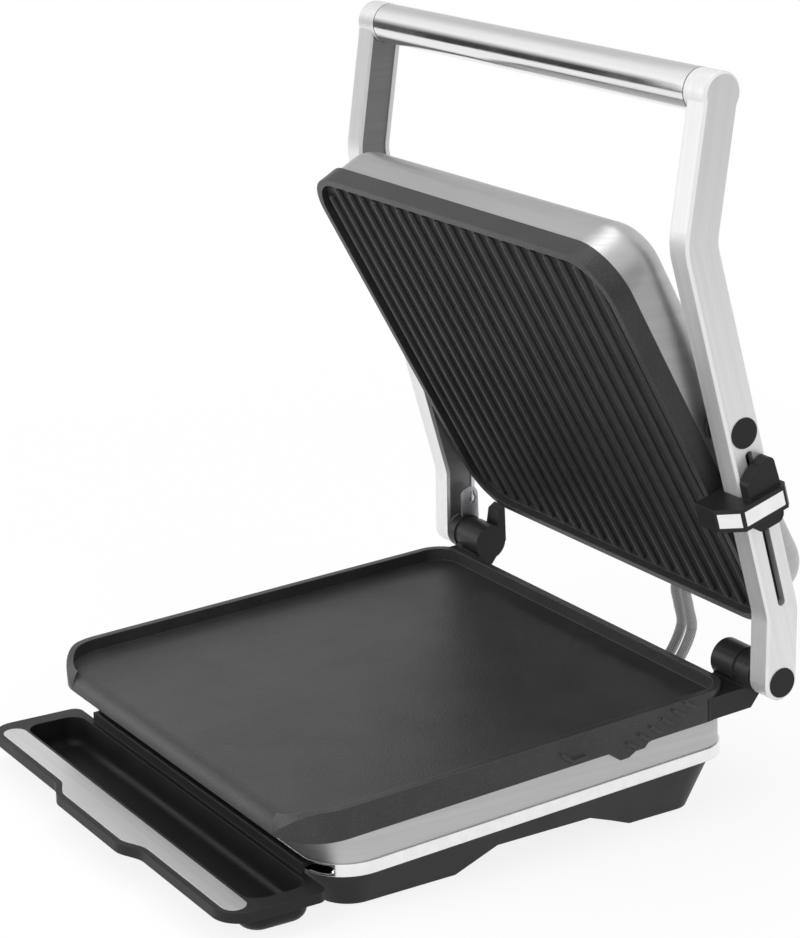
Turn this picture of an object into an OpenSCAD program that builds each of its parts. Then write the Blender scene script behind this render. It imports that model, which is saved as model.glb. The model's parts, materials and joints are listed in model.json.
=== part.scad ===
// Electric contact grill: open cooking deck, floating ribbed lid on two cast arms, drip tray.
// +X is the cook's right, -Y the front, +Z up. The table is at Z = 0 and the origin lies on it,
// under the middle of the cooking deck.

/* [Cooking deck] */
// Width of the deck over its rim
deck_w = 300; // [260:5:340]
// Depth of the deck from the rear rim to the front lip
deck_d = 289; // [260:1:320]
// Height of the rear rim over the table
deck_rear_h = 79; // [76:1:90]
// Forward slope of the deck, which drains it to the lip
deck_tilt = 3.14; // [1:0.01:5]
// Corner radius at the front
front_r = 30; // [24:1:40]
// Corner radius at the rear
rear_r = 20; // [15:1:24]
// Thickness of the rim wall
rim_t = 4.5; // [3:0.1:6]
// Depth of the cooking floor under the rim
rim_drop = 8; // [6:0.5:12]
// Thickness of the cooking floor
floor_t = 4; // [3:0.5:5]
// Height of the skirt under the rim
skirt_h = 18; // [16:1:22]

/* [Base housing] */
// How far the housing's front stands back from the lip
front_setback = 17; // [14:1:24]
// Height of the brushed side band
band_h = 17.3; // [12:0.1:24]
// Height of the polished band under it
trim_h = 7.4; // [7:0.1:10]
// Sheet thickness of both bands
sheet_t = 1.5; // [1:0.1:2]
// Inset of the brushed band from the skirt
band_inset = 2; // [1:0.5:4]
// Wall of the bottom pan
pan_wall = 3; // [2.5:0.5:4]
// How far the pan tapers in on its way down to the feet
pan_taper = 16; // [10:1:20]
// Clear height under the pan's floor
belly_h = 15.5; // [12:0.5:18]
// Width of each foot pod, from the pan's side inward
foot_w = 37; // [30:1:45]
// Height of the rubber pads that show under the feet
pad_show = 1.5; // [1:0.5:2]

/* [Arms] */
// Gap between the deck's side and an arm
arm_gap = 6.5; // [5:0.5:10]
// Thickness of an arm, across
arm_t = 15; // [14:1:18]
// Depth of an arm, front to rear
arm_d = 22; // [18:1:24]
// Chamfer on the two outer edges
arm_chamfer = 1.5; // [1:0.5:4]
// Radius of the bends, on the centre line
bend_r = 30; // [20:1:40]
// Length of the straight foot, from the hinge to the lower bend
foot_len = 42.3; // [36:0.1:50]
// Length from the lower bend to the upper bend
shank_len = 227; // [200:1:240]
// Length from the upper bend to the handle
neck_len = 80.5; // [70:0.5:95]
// Forward lean of the foot in the open pose
foot_lean = 1.1; // [0:0.1:3]
// Forward lean of the shank in the open pose
shank_lean = 17.2; // [14:0.1:20]
// Backward lean of the neck in the open pose
neck_lean = 7.2; // [0:0.1:12]
// Distance of the lid pivot above the lower bend
pivot_up = 115.5; // [110:0.5:122]
// Outer radius of the handle tube
bar_r = 12.1; // [10:0.1:14]
// Wall of the handle tube
bar_wall = 1.5; // [1:0.1:2.5]

/* [Hinge] */
// Distance of the hinge axis behind the rear rim
hinge_back = 16.5; // [15:0.5:20]
// Height of the hinge axis over the rear rim
hinge_up = 3.8; // [2:0.1:6]
// Radius of the hinge boss
boss_r = 11.5; // [10:0.5:13]
// Length of the hinge boss
boss_len = 33.5; // [28:0.5:40]
// Radius of the hinge and pivot pins
pin_r = 5; // [4:0.25:6]
// Radius of the black caps over the pins
cap_r = 8.7; // [8.2:0.1:9.2]
// Radial running clearance of the pins
running_fit = 0.05; // [0.02:0.01:0.1]

/* [Lid] */
// Depth of the lid over its rim
lid_d = 268.2; // [240:0.2:270]
// Lean of the lid's face from upright in the open pose
lid_lean = 30.2; // [25:0.1:35]
// Gap behind the closed lid to the rear rim's outer edge
lid_rear_gap = 1; // [0.5:0.5:4]
// Gap between the rims of the closed lid and the deck
closed_gap = 0.6; // [0.4:0.1:3]
// Height of the lid plate's black skirt
lid_skirt_h = 12.4; // [11:0.1:16]
// Depth of the grooves' floor under the lid's rim
groove_floor = 5; // [5:0.5:7]
// Number of ribs
rib_count = 21; // [9:2:23]
// Distance between ribs
rib_pitch = 13.6; // [12:0.1:14]
// Width of a rib, which ends in a full round
rib_w = 4; // [3.6:0.2:6]
// Depth of the ribs' crests under the rim
rib_recess = 1.6; // [1:0.1:2.5]
// Height of the shell's upright wall over the skirt
shell_wall_h = 13.6; // [12.5:0.1:20]
// Radius of the shell's rounded edge
shell_edge_r = 18; // [12:1:22]
// Sheet thickness of the shell
shell_t = 1.2; // [0.8:0.1:1.6]
// Height of the lid pivot over the lid's rim
lid_pivot_h = 25.1; // [24:0.1:27]

/* [Height clip] */
// Distance of the clip's underside above the lower bend, at rest
clip_at = 66.4; // [64:0.1:68]
// Height of the clip's collar, along the arm
clip_h = 14; // [12:0.5:16]
// How far the collar stands in front of the arm's centre line
clip_front = 29; // [26:1:32]
// How far it stands behind the centre line
clip_rear = 14; // [13:0.5:16]
// Thickness of its outer wall
clip_outer = 10.5; // [8:0.5:12]
// Gap between the clip and the arm
clip_gap = 0.35; // [0.3:0.05:0.6]
// Width of the slot in the arm
slot_w = 5; // [5:0.5:7]
// Slot's lower end above the lower bend
slot_low = 5; // [4.5:0.5:8]
// Slot's upper end above the lower bend
slot_high = 104; // [100:0.5:105]

/* [Drip tray] */
// Width of the tray
tray_w = 300; // [260:5:340]
// Depth of the tray, without its tongue
tray_d = 61; // [56:1:70]
// Height of the tray's flange over the table
tray_h = 20.5; // [18:0.5:20.5]
// Height of the flange's edge
flange_h = 6; // [5:0.5:7]
// Wall of the tray
tray_wall = 2; // [1.5:0.5:2.5]
// Flange width in front of the trough
flange_front = 19.5; // [17:0.5:24]
// Flange width behind the trough
flange_rear = 5; // [4:0.5:6]
// Flange width at both ends
flange_end = 11; // [10:1:14]
// Radius of the trough's floor edge
trough_r = 7; // [5:1:8]
// How far the grip tongue stands out
tongue = 7; // [5:1:10]
// Depth of the rear hook inside the housing
hook_in = 14; // [10:1:18]

/* [Hidden] */

$fn = 64;
eps = 0.01;

cast_black = [0.075, 0.075, 0.08];
satin_black = [0.05, 0.05, 0.055];
rubber_black = [0.03, 0.03, 0.03];
steel = [0.66, 0.66, 0.67];
polished = [0.86, 0.86, 0.87];
cast_silver = [0.72, 0.72, 0.73];
loom_grey = [0.42, 0.42, 0.43];

// The deck's own frame: origin at the rear rim's outer edge, y along the deck, z off it.
deck_y = deck_d / 2;
function on_deck(y, z) = [deck_y + y * cos(deck_tilt) - z * sin(deck_tilt),
    deck_rear_h + y * sin(deck_tilt) + z * cos(deck_tilt)];
module deck_frame() {
    translate([0, deck_y, deck_rear_h]) rotate([deck_tilt, 0, 0]) children();
}

// Levels of the housing in the deck's frame
band_top = -skirt_h;
trim_top = band_top - band_h;
pan_top = trim_top - trim_h;
housing_front = -deck_d + front_setback;
floor_under = -rim_drop - floor_t;
reflector_z = -22;
reflector_t = 0.8;

// Side plane of an arm: centre line points as [y, z] in the open pose
function lean_dir(a) = [-sin(a), cos(a)];
arm_in = deck_w / 2 + arm_gap;
arm_out = arm_in + arm_t;
hinge_c = on_deck(hinge_back, hinge_up);
bend_low = hinge_c + foot_len * lean_dir(foot_lean);
bend_top = bend_low + shank_len * lean_dir(shank_lean);
head_c = bend_top + neck_len * lean_dir(-neck_lean);
pivot_c = bend_low + pivot_up * lean_dir(shank_lean);
pocket_w = arm_d - 5;
pocket_t = arm_t - 5;
boss_end = arm_in - 1.5;

// The lid's own frame: origin at its rear rim edge, y along the plate, z into the lid.
// Its pivot is placed so that the closed lid lands on the deck's rim.
lid_turn = lid_lean - 90;
pivot_reach = norm(pivot_c - hinge_c);
pivot_drop = closed_gap + lid_pivot_h - hinge_up;
lid_pivot_y = lid_rear_gap + hinge_back - sqrt(pivot_reach * pivot_reach - pivot_drop * pivot_drop);
lid_origin = pivot_c - [lid_pivot_y * cos(lid_turn) - lid_pivot_h * sin(lid_turn),
    lid_pivot_y * sin(lid_turn) + lid_pivot_h * cos(lid_turn)];
shell_inset = 2;
shell_x = deck_w / 2 - shell_inset;
shell_r = front_r - shell_inset;
module lid_frame() {
    translate([0, lid_origin[0], lid_origin[1]]) rotate([lid_turn, 0, 0]) children();
}

// Points along an arm's shank: y across it, z along it from the lower bend
module shank_frame() {
    translate([0, bend_low[0], bend_low[1]]) rotate([shank_lean, 0, 0]) children();
}

// ---- Shared shapes ----

// Revolves and extrusions whose axis lies along X: a profile's [x, y] becomes [y, z] there
module about_x() {
    rotate([90, 0, 90]) children();
}

// Rounded rectangle from y0 (front) to y1 (rear), with its own radius at each end
module round_plan(half_w, y0, y1, rf, rr) {
    translate([-half_w, y0 + rf]) square([2 * half_w, y1 - y0 - rf - rr]);
    translate([-half_w + rf, y0]) square([2 * (half_w - rf), rf + eps]);
    translate([-half_w + rr, y1 - rr - eps]) square([2 * (half_w - rr), rr + eps]);
    for (side = [-1, 1]) {
        translate([side * (half_w - rf), y0 + rf]) circle(rf);
        translate([side * (half_w - rr), y1 - rr]) circle(rr);
    }
}

module deck_plan(inset, y0 = -deck_d) {
    round_plan(deck_w / 2 - inset, y0 + inset, -inset, front_r - inset, rear_r - inset);
}

// Body with one edge profile all round: the child is the profile of the outer r millimetres,
// with x = 0 at the corner's axis, and z0 to z1 is the height it has there.
module edge_body(half_w, y0, y1, r, z0, z1) {
    for (side = [-1, 1], y = [y0 + r, y1 - r])
        translate([side * (half_w - r), y, 0]) rotate_extrude() children();
    for (side = [-1, 1])
        translate([side * (half_w - r), y1 - r, 0]) rotate([90, 0, 0])
            linear_extrude(y1 - y0 - 2 * r) mirror([side < 0 ? 1 : 0, 0]) children();
    for (turn = [0, 1])
        translate([turn == 0 ? -(half_w - r) : half_w - r, turn == 0 ? y1 - r : y0 + r, 0])
            rotate([90, 0, turn == 0 ? 90 : -90]) linear_extrude(2 * (half_w - r)) children();
    translate([-(half_w - r), y0 + r, z0]) cube([2 * (half_w - r), y1 - y0 - 2 * r, z1 - z0]);
}

module mirrored(side) {
    mirror([side < 0 ? 1 : 0, 0, 0]) children();
}

// Cylinder along X between two planes, about a point [y, z]
module bar_x(x0, x1, c, r) {
    translate([x0, c[0], c[1]]) rotate([0, 90, 0]) cylinder(h = x1 - x0, r = r);
}

// Long hole or tongue in the XY plane, from y0 to y1
module stadium(w, y0, y1) {
    translate([-w / 2, y0 + w / 2]) square([w, y1 - y0 - w]);
    translate([0, y0 + w / 2]) circle(w / 2);
    translate([0, y1 - w / 2]) circle(w / 2);
}

// ---- Base ----

nose_r = skirt_h;
well_nose_r = skirt_h - rim_drop;

// Side view of the deck: flat rim that rolls down over the front lip
module rim_profile() {
    translate([-deck_d + nose_r, -skirt_h]) square([deck_d - nose_r, skirt_h]);
    intersection() {
        translate([-deck_d + nose_r, -skirt_h]) circle(nose_r, $fn = 96);
        translate([-deck_d - 1, -skirt_h]) square([nose_r + 2, skirt_h + 1]);
    }
}

// Side view of the space over the cooking floor, which rolls down to the same lip
module well_profile() {
    difference() {
        translate([-deck_d - 20, -skirt_h]) square([deck_d + 20, skirt_h + 5]);
        translate([-deck_d + well_nose_r, -skirt_h - 1]) square([deck_d, skirt_h + 1 - rim_drop]);
        translate([-deck_d + well_nose_r, -skirt_h]) circle(well_nose_r, $fn = 96);
    }
}

module well_plan() {
    deck_plan(rim_t);
    translate([-deck_w / 2 + front_r, -deck_d - 10])
        square([deck_w - 2 * front_r, front_r + 10]);
}

// Height rack on the right skirt: sawtooth ledges that rise to the rear, and the low stop
rack_teeth = 6;
rack_y = -77.7;
rack_z = -15.2;
rack_pitch = 8.1;
rack_rise = 2.75;
tooth_run = 7.4;
tooth_drop = 5.4;
ledge_proud = 1.6;
rack_apron = [[-91, -17], [-82, -24], [-76, -24], [-71, -21.3], [-65, -21.3], [-61.5, -18.1],
    [-56, -18.1], [-54.5, -17]];

module slanted_ledge(y, z, run, drop) {
    translate([deck_w / 2 - 1, y, z]) rotate([-atan(drop / run), 0, 0])
        cube([1 + ledge_proud, norm([run, drop]), 1.5]);
}

module height_rack() {
    translate([deck_w / 2 - band_inset + 0.05, 0, 0]) about_x()
        linear_extrude(band_inset - 0.05) polygon(rack_apron);
    for (i = [0:rack_teeth - 1])
        slanted_ledge(rack_y + i * rack_pitch, rack_z + i * rack_rise, tooth_run, tooth_drop);
    slanted_ledge(-122.5, -9.5, 6.4, 5.5);
    slanted_ledge(-116.2, -15.6, 10.3, -0.6);
}

post_x = 56;
post_ys = [-60, -205];
clamp_ys = [-100, -180];
clamp_xs = [-56, 0, 56];
element_r = 3.3;
element_z = floor_under - element_r - 0.1;
clamp_top = element_z - element_r - 0.1;

module at_posts() {
    for (side = [-1, 1], y = post_ys) translate([side * post_x, y, 0]) children();
}

module deck_casting() {
    difference() {
        union() {
            intersection() {
                translate([-deck_w / 2, 0, 0]) about_x() linear_extrude(deck_w) rim_profile();
                translate([0, 0, -skirt_h - 1]) linear_extrude(skirt_h + 2) deck_plan(0);
            }
            height_rack();
        }
        intersection() {
            translate([-deck_w, 0, 0]) about_x() linear_extrude(2 * deck_w) well_profile();
            translate([0, 0, -skirt_h - 1]) linear_extrude(skirt_h + 7) well_plan();
        }
        translate([0, 0, -skirt_h - 1]) linear_extrude(skirt_h + 1 + floor_under)
            deck_plan(rim_t, housing_front - 2);
    }
}

module base_plate() {
    color(cast_black) deck_frame() difference() {
        union() {
            deck_casting();
            at_posts() translate([0, 0, reflector_z])
                cylinder(h = floor_under - reflector_z + 1, r = 6);
            for (y = clamp_ys, x = clamp_xs)
                translate([x, y, clamp_top]) cylinder(h = floor_under - clamp_top + 1, r = 4);
        }
        at_posts() translate([0, 0, reflector_z - 1]) cylinder(h = 10, r = 2);
        at_bracket_screws() translate([0, -rim_t - 1, 0])
            rotate([-90, 0, 0]) cylinder(h = rim_t + 2, r = 2);
    }
}

module band_ring(inset, z0, z1) {
    translate([0, 0, z0]) linear_extrude(z1 - z0) difference() {
        deck_plan(inset, housing_front - inset);
        deck_plan(inset + sheet_t, housing_front - inset);
    }
}

loom_xs = [41, 51];
loom_r = 3.5;
gland_wall = 3;
gland_z = band_top - 10;
lid_gland_z = lid_skirt_h + 7.2;

// Flat double grommet along Y, about x between its two looms
module gland_outline(r) {
    for (x = loom_xs) translate([x, 0]) circle(r);
    translate([loom_xs[0], -r]) square([loom_xs[1] - loom_xs[0], 2 * r]);
}

module gland_block(grow, y0, y1) {
    translate([0, y1, 0]) rotate([90, 0, 0]) linear_extrude(y1 - y0)
        gland_outline(loom_r + grow);
}

module side_band() {
    color(steel) deck_frame() difference() {
        band_ring(band_inset, trim_top, band_top);
        translate([0, 0, gland_z]) gland_block(gland_wall - 1, -10, 5);
    }
}

mouth_z0 = pan_top + 1.3;
mouth_z1 = trim_top - 1;
mouth_y = housing_front + 6;

module lower_trim() {
    mouth_r = (mouth_z1 - mouth_z0) / 2;
    color(polished) deck_frame() difference() {
        band_ring(band_inset - 1, pan_top, trim_top);
        translate([-deck_w, housing_front - 20, mouth_z0])
            cube([2 * deck_w, mouth_y - housing_front + 20, mouth_z1 - mouth_z0]);
        bar_x(-deck_w, deck_w, [mouth_y, mouth_z0 + mouth_r], mouth_r);
    }
}

// Bottom pan: tapers in to its feet, with an arch between the front and rear foot
pan_depth = pan_top + deck_rear_h + 20;
pan_inset = band_inset;
pan_r = front_r - pan_inset;

// Side wall of the pan; the offset moves it inward
module pan_edge(offset_in, depth) {
    slope = pan_taper / 36.5;
    polygon([[0, pan_top], [pan_r - offset_in, pan_top],
        [pan_r - offset_in - slope * depth, pan_top - depth], [0, pan_top - depth]]);
}

module pan_block(offset_in, depth) {
    half_w = deck_w / 2 - pan_inset;
    edge_body(half_w, housing_front, -pan_inset, pan_r, pan_top - depth, pan_top)
        pan_edge(offset_in, depth);
}

front_foot_y = [-112.5, -37.5];
rear_foot_y = [83.5, 67.5];
arch_y = [-13.5, 50.5];
foot_inner = deck_w / 2 - pan_inset - pan_taper - foot_w;
pad_len = [50, 28];
pad_y = [-76, 102];
pad_w = 18;
pad_t = 3.2;
pad_x = deck_w / 2 - pan_inset - pan_taper - pad_w / 2 - 4;

module at_screw_wells() {
    deck_frame() at_posts() children();
}

module base_pan() {
    color(satin_black) difference() {
        union() {
            difference() {
                deck_frame() pan_block(0, 45);
                intersection() {
                    deck_frame() translate([0, 0, eps]) pan_block(pan_wall, 45);
                    translate([-deck_w, -deck_d, belly_h + pan_wall]) cube([2 * deck_w, 2 * deck_d, 90]);
                }
            }
            intersection() {
                at_screw_wells() translate([0, 0, pan_top - 20])
                    cylinder(h = reflector_z - reflector_t - pan_top + 20, r = 6);
                translate([-deck_w, -deck_d, belly_h + 1]) cube([2 * deck_w, 2 * deck_d, 90]);
            }
        }
        translate([-deck_w, -deck_d, -60]) cube([2 * deck_w, 2 * deck_d, 60 + pad_show]);
        translate([-foot_inner, -deck_d, -60]) cube([2 * foot_inner, 2 * deck_d, 60 + belly_h]);
        translate([-deck_w, 0, 0]) about_x() linear_extrude(2 * deck_w)
            polygon([[front_foot_y[1], -1], [front_foot_y[1], pad_show], [arch_y[0], belly_h],
                [arch_y[1], belly_h], [rear_foot_y[1], 8.5], [rear_foot_y[0], pad_show],
                [rear_foot_y[0], -1]]);
        for (side = [-1, 1], i = [0, 1])
            translate([side * pad_x, 0, -1]) linear_extrude(1 + pad_t + eps)
                stadium(pad_w, pad_y[i] - pad_len[i] / 2, pad_y[i] + pad_len[i] / 2);
        at_screw_wells() translate([0, 0, pan_top - 40]) cylinder(h = 70, r = 2.2);
        at_screw_wells() translate([0, 0, pan_top - 40]) cylinder(h = 40 - screw_seat, r = 4.6);
        deck_frame() translate([0, 0, gland_z]) gland_block(gland_wall - 1, -10, 5);
    }
}

screw_seat = 10;

module foot_pad(side, i) {
    color(rubber_black) translate([side * pad_x, 0, 0]) linear_extrude(pad_t)
        stadium(pad_w - 0.4, pad_y[i] - pad_len[i] / 2 + 0.2, pad_y[i] + pad_len[i] / 2 - 0.2);
}

module foot_pad_front_left() { foot_pad(-1, 0); }
module foot_pad_front_right() { foot_pad(1, 0); }
module foot_pad_rear_left() { foot_pad(-1, 1); }
module foot_pad_rear_right() { foot_pad(1, 1); }

// Tubular heater: four runs with return bends, and a steel pin at each end
module heater(z, r, y_rear, y_rear_bend, y_front, bend, xs) {
    for (x = xs) {
        outer = abs(x) > 2 * bend;
        y1 = outer ? y_rear : y_rear_bend;
        translate([x, y1, z]) rotate([90, 0, 0]) cylinder(h = y1 - y_front, r = r);
        if (outer) translate([x, y_rear + 9, z]) rotate([90, 0, 0]) cylinder(h = 10, r = r / 2);
    }
    for (x = [xs[0] + bend, xs[3] - bend])
        translate([x, y_front, z]) rotate([0, 0, 180])
            rotate_extrude(angle = 180) translate([bend, 0]) circle(r);
    translate([0, y_rear_bend, z])
        rotate_extrude(angle = 180) translate([bend, 0]) circle(r);
}

heater_bend = 28;
heater_xs = [-84, -28, 28, 84];

module base_element() {
    color(steel) deck_frame() heater(element_z, element_r, -30, -60, -215, heater_bend, heater_xs);
}

module clamp_bar(y, z, drop) {
    translate([-100, y - 7, z]) cube([200, 14, drop]);
}

module base_element_clamps() {
    color(steel) deck_frame() for (y = clamp_ys) clamp_bar(y, clamp_top - 1.2, 1.2);
}

module base_reflector() {
    color(steel) deck_frame() difference() {
        translate([0, 0, reflector_z - reflector_t]) linear_extrude(reflector_t)
            round_plan(deck_w / 2 - 14, housing_front + 12, -14, 16, 16);
        at_posts() translate([0, 0, reflector_z - 2]) cylinder(h = 4, r = 2.2);
        translate([0, thermostat_y, reflector_z - 2]) cylinder(h = 4, r = 13);
    }
}

thermostat_y = -222;
thermostat_r = 11;

module sensor_disc(z0, z1) {
    translate([0, thermostat_y, z0]) cylinder(h = z1 - z0, r = thermostat_r);
}

module base_thermostat() {
    color(satin_black) deck_frame() {
        sensor_disc(floor_under - 9, floor_under);
        for (side = [-1, 1]) translate([side * 5 - 2, thermostat_y - 0.5, floor_under - 15])
            cube([4, 1, 7]);
    }
}

module base_screws() {
    color(steel) deck_frame() at_posts() {
        translate([0, 0, pan_top - screw_seat]) cylinder(h = reflector_z + 8 - pan_top + screw_seat, r = 1.9);
        translate([0, 0, pan_top - screw_seat - 3]) cylinder(h = 3, r = 4);
    }
}

// ---- Hinge brackets ----

bracket_screw_x = boss_end - boss_len + 4;
bracket_screw_z = -15;

module at_bracket_screws() {
    for (side = [-1, 1]) translate([side * bracket_screw_x, 0, bracket_screw_z]) children();
}

// Closed end of each boss, which hides its pin
boss_floor = 4;

module hinge_bracket(side) {
    inner = boss_end - boss_len;
    color(cast_black) deck_frame() difference() {
        mirrored(side) {
            bar_x(inner, boss_end, [hinge_back, hinge_up], boss_r - 1);
            bar_x(inner, inner + 19, [hinge_back, hinge_up], boss_r);
            bar_x(boss_end - 7, boss_end, [hinge_back, hinge_up], boss_r);
            translate([inner, 0, 0]) about_x() linear_extrude(deck_w / 2 - inner)
                polygon([[-24, -4], [7, -4], [hinge_back - 8, hinge_up + 4],
                    [hinge_back + 9, hinge_up - 5], [hinge_back - 5, -17.5], [-24, -17.5]]);
        }
        translate([0, 0, -30]) linear_extrude(60) deck_plan(0);
        mirrored(side)
            bar_x(inner + boss_floor, deck_w, [hinge_back, hinge_up], pin_r + running_fit);
        at_bracket_screws() rotate([-90, 0, 0]) cylinder(h = 8, r = 1.7);
        if (side < 0) stop_slot();
    }
}

module hinge_bracket_left() { hinge_bracket(-1); }
module hinge_bracket_right() { hinge_bracket(1); }

module bracket_screws() {
    color(steel) deck_frame() at_bracket_screws() {
        translate([0, -rim_t, 0]) rotate([-90, 0, 0]) cylinder(h = rim_t + 7, r = 1.5);
        translate([0, -rim_t - 2.2, 0]) rotate([-90, 0, 0]) cylinder(h = 2.2, r = 2.7);
    }
}

washer_t = 1;

module hinge_washer(side) {
    color(satin_black) mirrored(side) difference() {
        bar_x(boss_end, boss_end + washer_t, hinge_c, boss_r - 2.5);
        bar_x(boss_end - 1, boss_end + 2, hinge_c, pin_r + 0.3);
    }
}

module hinge_washer_left() { hinge_washer(-1); }
module hinge_washer_right() { hinge_washer(1); }

// Steel stop plate with a keyhole, upright in a slot of the left boss
stop_x = -deck_w / 2 - 1.5;
stop_t = 1.5;

module stop_outline(grow) {
    translate([hinge_back - 3, hinge_up + 7 - grow]) square([13, 16]);
    translate([hinge_back + 3.5, hinge_up + 24]) circle(6.5);
}

module stop_slot() {
    translate([stop_x - 0.02, 0, 0]) about_x() linear_extrude(stop_t + 0.04) stop_outline(0.02);
}

module stop_plate() {
    key = [hinge_back + 5.5, hinge_up + 21.5];
    color(steel) deck_frame() translate([stop_x, 0, 0]) about_x() linear_extrude(stop_t)
        difference() {
            stop_outline(0);
            translate(key) circle(2.6);
            translate([key[0] - 1.4, key[1]]) square([2.8, 5.5]);
        }
}

module lid_rest_post() {
    x0 = boss_end - boss_len + 6;
    color(cast_black) deck_frame() mirrored(-1) difference() {
        translate([x0, 0, 0]) about_x() linear_extrude(12)
            polygon([[hinge_back + 7, hinge_up - 4], [hinge_back + 16, hinge_up - 4],
                [hinge_back + 16, 24], [hinge_back + 11, 21]]);
        bar_x(x0 - 1, x0 + 13, [hinge_back, hinge_up], boss_r);
    }
}

// ---- Braided loom between the base and the lid ----

lid_gland = lid_origin + [-shell_inset * cos(lid_turn) - lid_gland_z * sin(lid_turn),
    -shell_inset * sin(lid_turn) + lid_gland_z * cos(lid_turn)];
base_gland = on_deck(-band_inset, gland_z);
loom_route = [base_gland, base_gland + [6, -1], [161, 43], [173, 46], [184, 56], [191.5, 72],
    [188.8, 86], [186.2, 97], [188.8, 105.5], lid_gland + [2.3, -4.5], lid_gland];
loom_steps = 4;
loom_sides = 10;

function spline(p, i, t) = let (a = p[max(i - 1, 0)], b = p[i], c = p[i + 1],
    d = p[min(i + 2, len(p) - 1)])
    0.5 * (2 * b + (c - a) * t + (2 * a - 5 * b + 4 * c - d) * t * t
        + (3 * b - a - 3 * c + d) * t * t * t);
function spline_points(p) = concat([for (i = [0:len(p) - 2], s = [0:loom_steps - 1])
    spline(p, i, s / loom_steps)], [p[len(p) - 1]]);
function heading(p, i) = let (v = p[min(i + 1, len(p) - 1)] - p[max(i - 1, 0)]) v / norm(v);

// Tube in a plane of constant x, whose centre line is a list of [y, z]
module tube_along(p, x, r) {
    n = len(p);
    rings = [for (i = [0:n - 1]) let (h = heading(p, i)) for (k = [0:loom_sides - 1])
        let (a = 360 * k / loom_sides)
        [x + r * cos(a), p[i][0] - r * sin(a) * h[1], p[i][1] + r * sin(a) * h[0]]];
    sides = [for (i = [0:n - 2], k = [0:loom_sides - 1]) let (m = (k + 1) % loom_sides)
        [i * loom_sides + k, (i + 1) * loom_sides + k, (i + 1) * loom_sides + m, i * loom_sides + m]];
    polyhedron(rings, concat(sides, [[for (k = [0:loom_sides - 1]) k]],
        [[for (k = [loom_sides - 1:-1:0]) (n - 1) * loom_sides + k]]));
}

module power_loom() {
    color(loom_grey) for (x = loom_xs) tube_along(spline_points(loom_route), x, loom_r - 0.3);
}

module loom_gland() {
    difference() {
        union() {
            gland_block(gland_wall - 1.1, -4, 1);
            gland_block(gland_wall, 0, 3);
        }
        for (x = loom_xs) translate([x, 10, 0]) rotate([90, 0, 0]) cylinder(h = 20, r = loom_r);
    }
}

module loom_gland_base() {
    color(rubber_black) deck_frame() translate([0, -band_inset, gland_z]) loom_gland();
}
module loom_gland_lid() {
    color(rubber_black) lid_frame() translate([0, -shell_inset, lid_gland_z]) loom_gland();
}

// ---- Arms ----

half_d = arm_d / 2;
bend_steps = 8;
end_steps = 28;

function rear_dir(a) = [cos(a), sin(a)];
function span_steps(a, b, n) = [for (i = [0:n]) a + (b - a) * i / n];
function arc(c, r, a, b, n) = [for (t = span_steps(a, b, n)) c + r * rear_dir(t)];

// Each bend is tangent to both of its straight stretches
low_start = bend_low - bend_r * tan((shank_lean - foot_lean) / 2) * lean_dir(foot_lean);
low_centre = low_start - bend_r * rear_dir(foot_lean);
top_start = bend_top - bend_r * tan((shank_lean + neck_lean) / 2) * lean_dir(shank_lean);
top_centre = top_start + bend_r * rear_dir(shank_lean);

// Side outline of an arm as [y, z] points, w from its centre line: up the rear, down the front
function arm_outline(w) = concat(
    arc(low_centre, bend_r + w, foot_lean, shank_lean, bend_steps),
    arc(top_centre, w - bend_r, shank_lean, -neck_lean, bend_steps),
    arc(head_c, w, -neck_lean, 180 - neck_lean, end_steps),
    arc(top_centre, -bend_r - w, -neck_lean, shank_lean, bend_steps),
    arc(low_centre, bend_r - w, shank_lean, foot_lean, bend_steps),
    arc(hinge_c, w, 180 + foot_lean, 360 + foot_lean, end_steps));

// Bends and round ends stand this far proud of the straights, which reach into them
seam = 0.02;
lap = 0.5;
low_turn = shank_lean - foot_lean;
top_turn = shank_lean + neck_lean;
low_cut = bend_r * tan(low_turn / 2);
top_cut = bend_r * tan(top_turn / 2);

// Cross-section of an arm, [x, y] in its frame, open towards the appliance
module arm_section(grow = 0) {
    half = half_d + grow;
    flat = half_d - arm_chamfer;
    difference() {
        polygon([[arm_in - grow, -half], [arm_out - arm_chamfer, -half], [arm_out + grow, -flat],
            [arm_out + grow, flat], [arm_out - arm_chamfer, half], [arm_in - grow, half]]);
        translate([arm_in - 1, grow - pocket_w / 2])
            square([pocket_t + 1 - grow, pocket_w - 2 * grow]);
    }
}

// Half round end, solid, turned about the arm's width
module arm_end() {
    about_x() rotate_extrude(angle = 180) mirror([1, -1]) polygon([[arm_in - seam, 0],
        [arm_out + seam, 0], [arm_out + seam, half_d - arm_chamfer],
        [arm_out - arm_chamfer, half_d + seam], [arm_in - seam, half_d + seam]]);
}

module arm_bend(z, start, turn, way) {
    translate([0, way * bend_r, z]) about_x() rotate([0, 0, start])
        rotate_extrude(angle = turn) translate([bend_r, 0]) mirror([1, -1]) arm_section(seam);
}

module arm_bar() {
    shank_frame() {
        rotate([-low_turn, 0, 0]) translate([0, 0, -foot_len]) {
            linear_extrude(foot_len - low_cut + lap) arm_section();
            rotate([180, 0, 0]) arm_end();
        }
        translate([0, 0, low_cut - lap])
            linear_extrude(shank_len - low_cut - top_cut + 2 * lap) arm_section();
        translate([0, 0, shank_len]) rotate([-top_turn, 0, 0]) {
            translate([0, 0, top_cut - lap]) linear_extrude(neck_len - top_cut + lap)
                arm_section();
            translate([0, 0, neck_len]) arm_end();
        }
        arm_bend(low_cut, -low_turn, low_turn, -1);
        arm_bend(shank_len - top_cut, 180 - top_turn, top_turn, 1);
    }
    for (c = [hinge_c, pivot_c, head_c]) bar_x(arm_in, arm_out - 2, c, half_d - 0.5);
}

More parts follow.
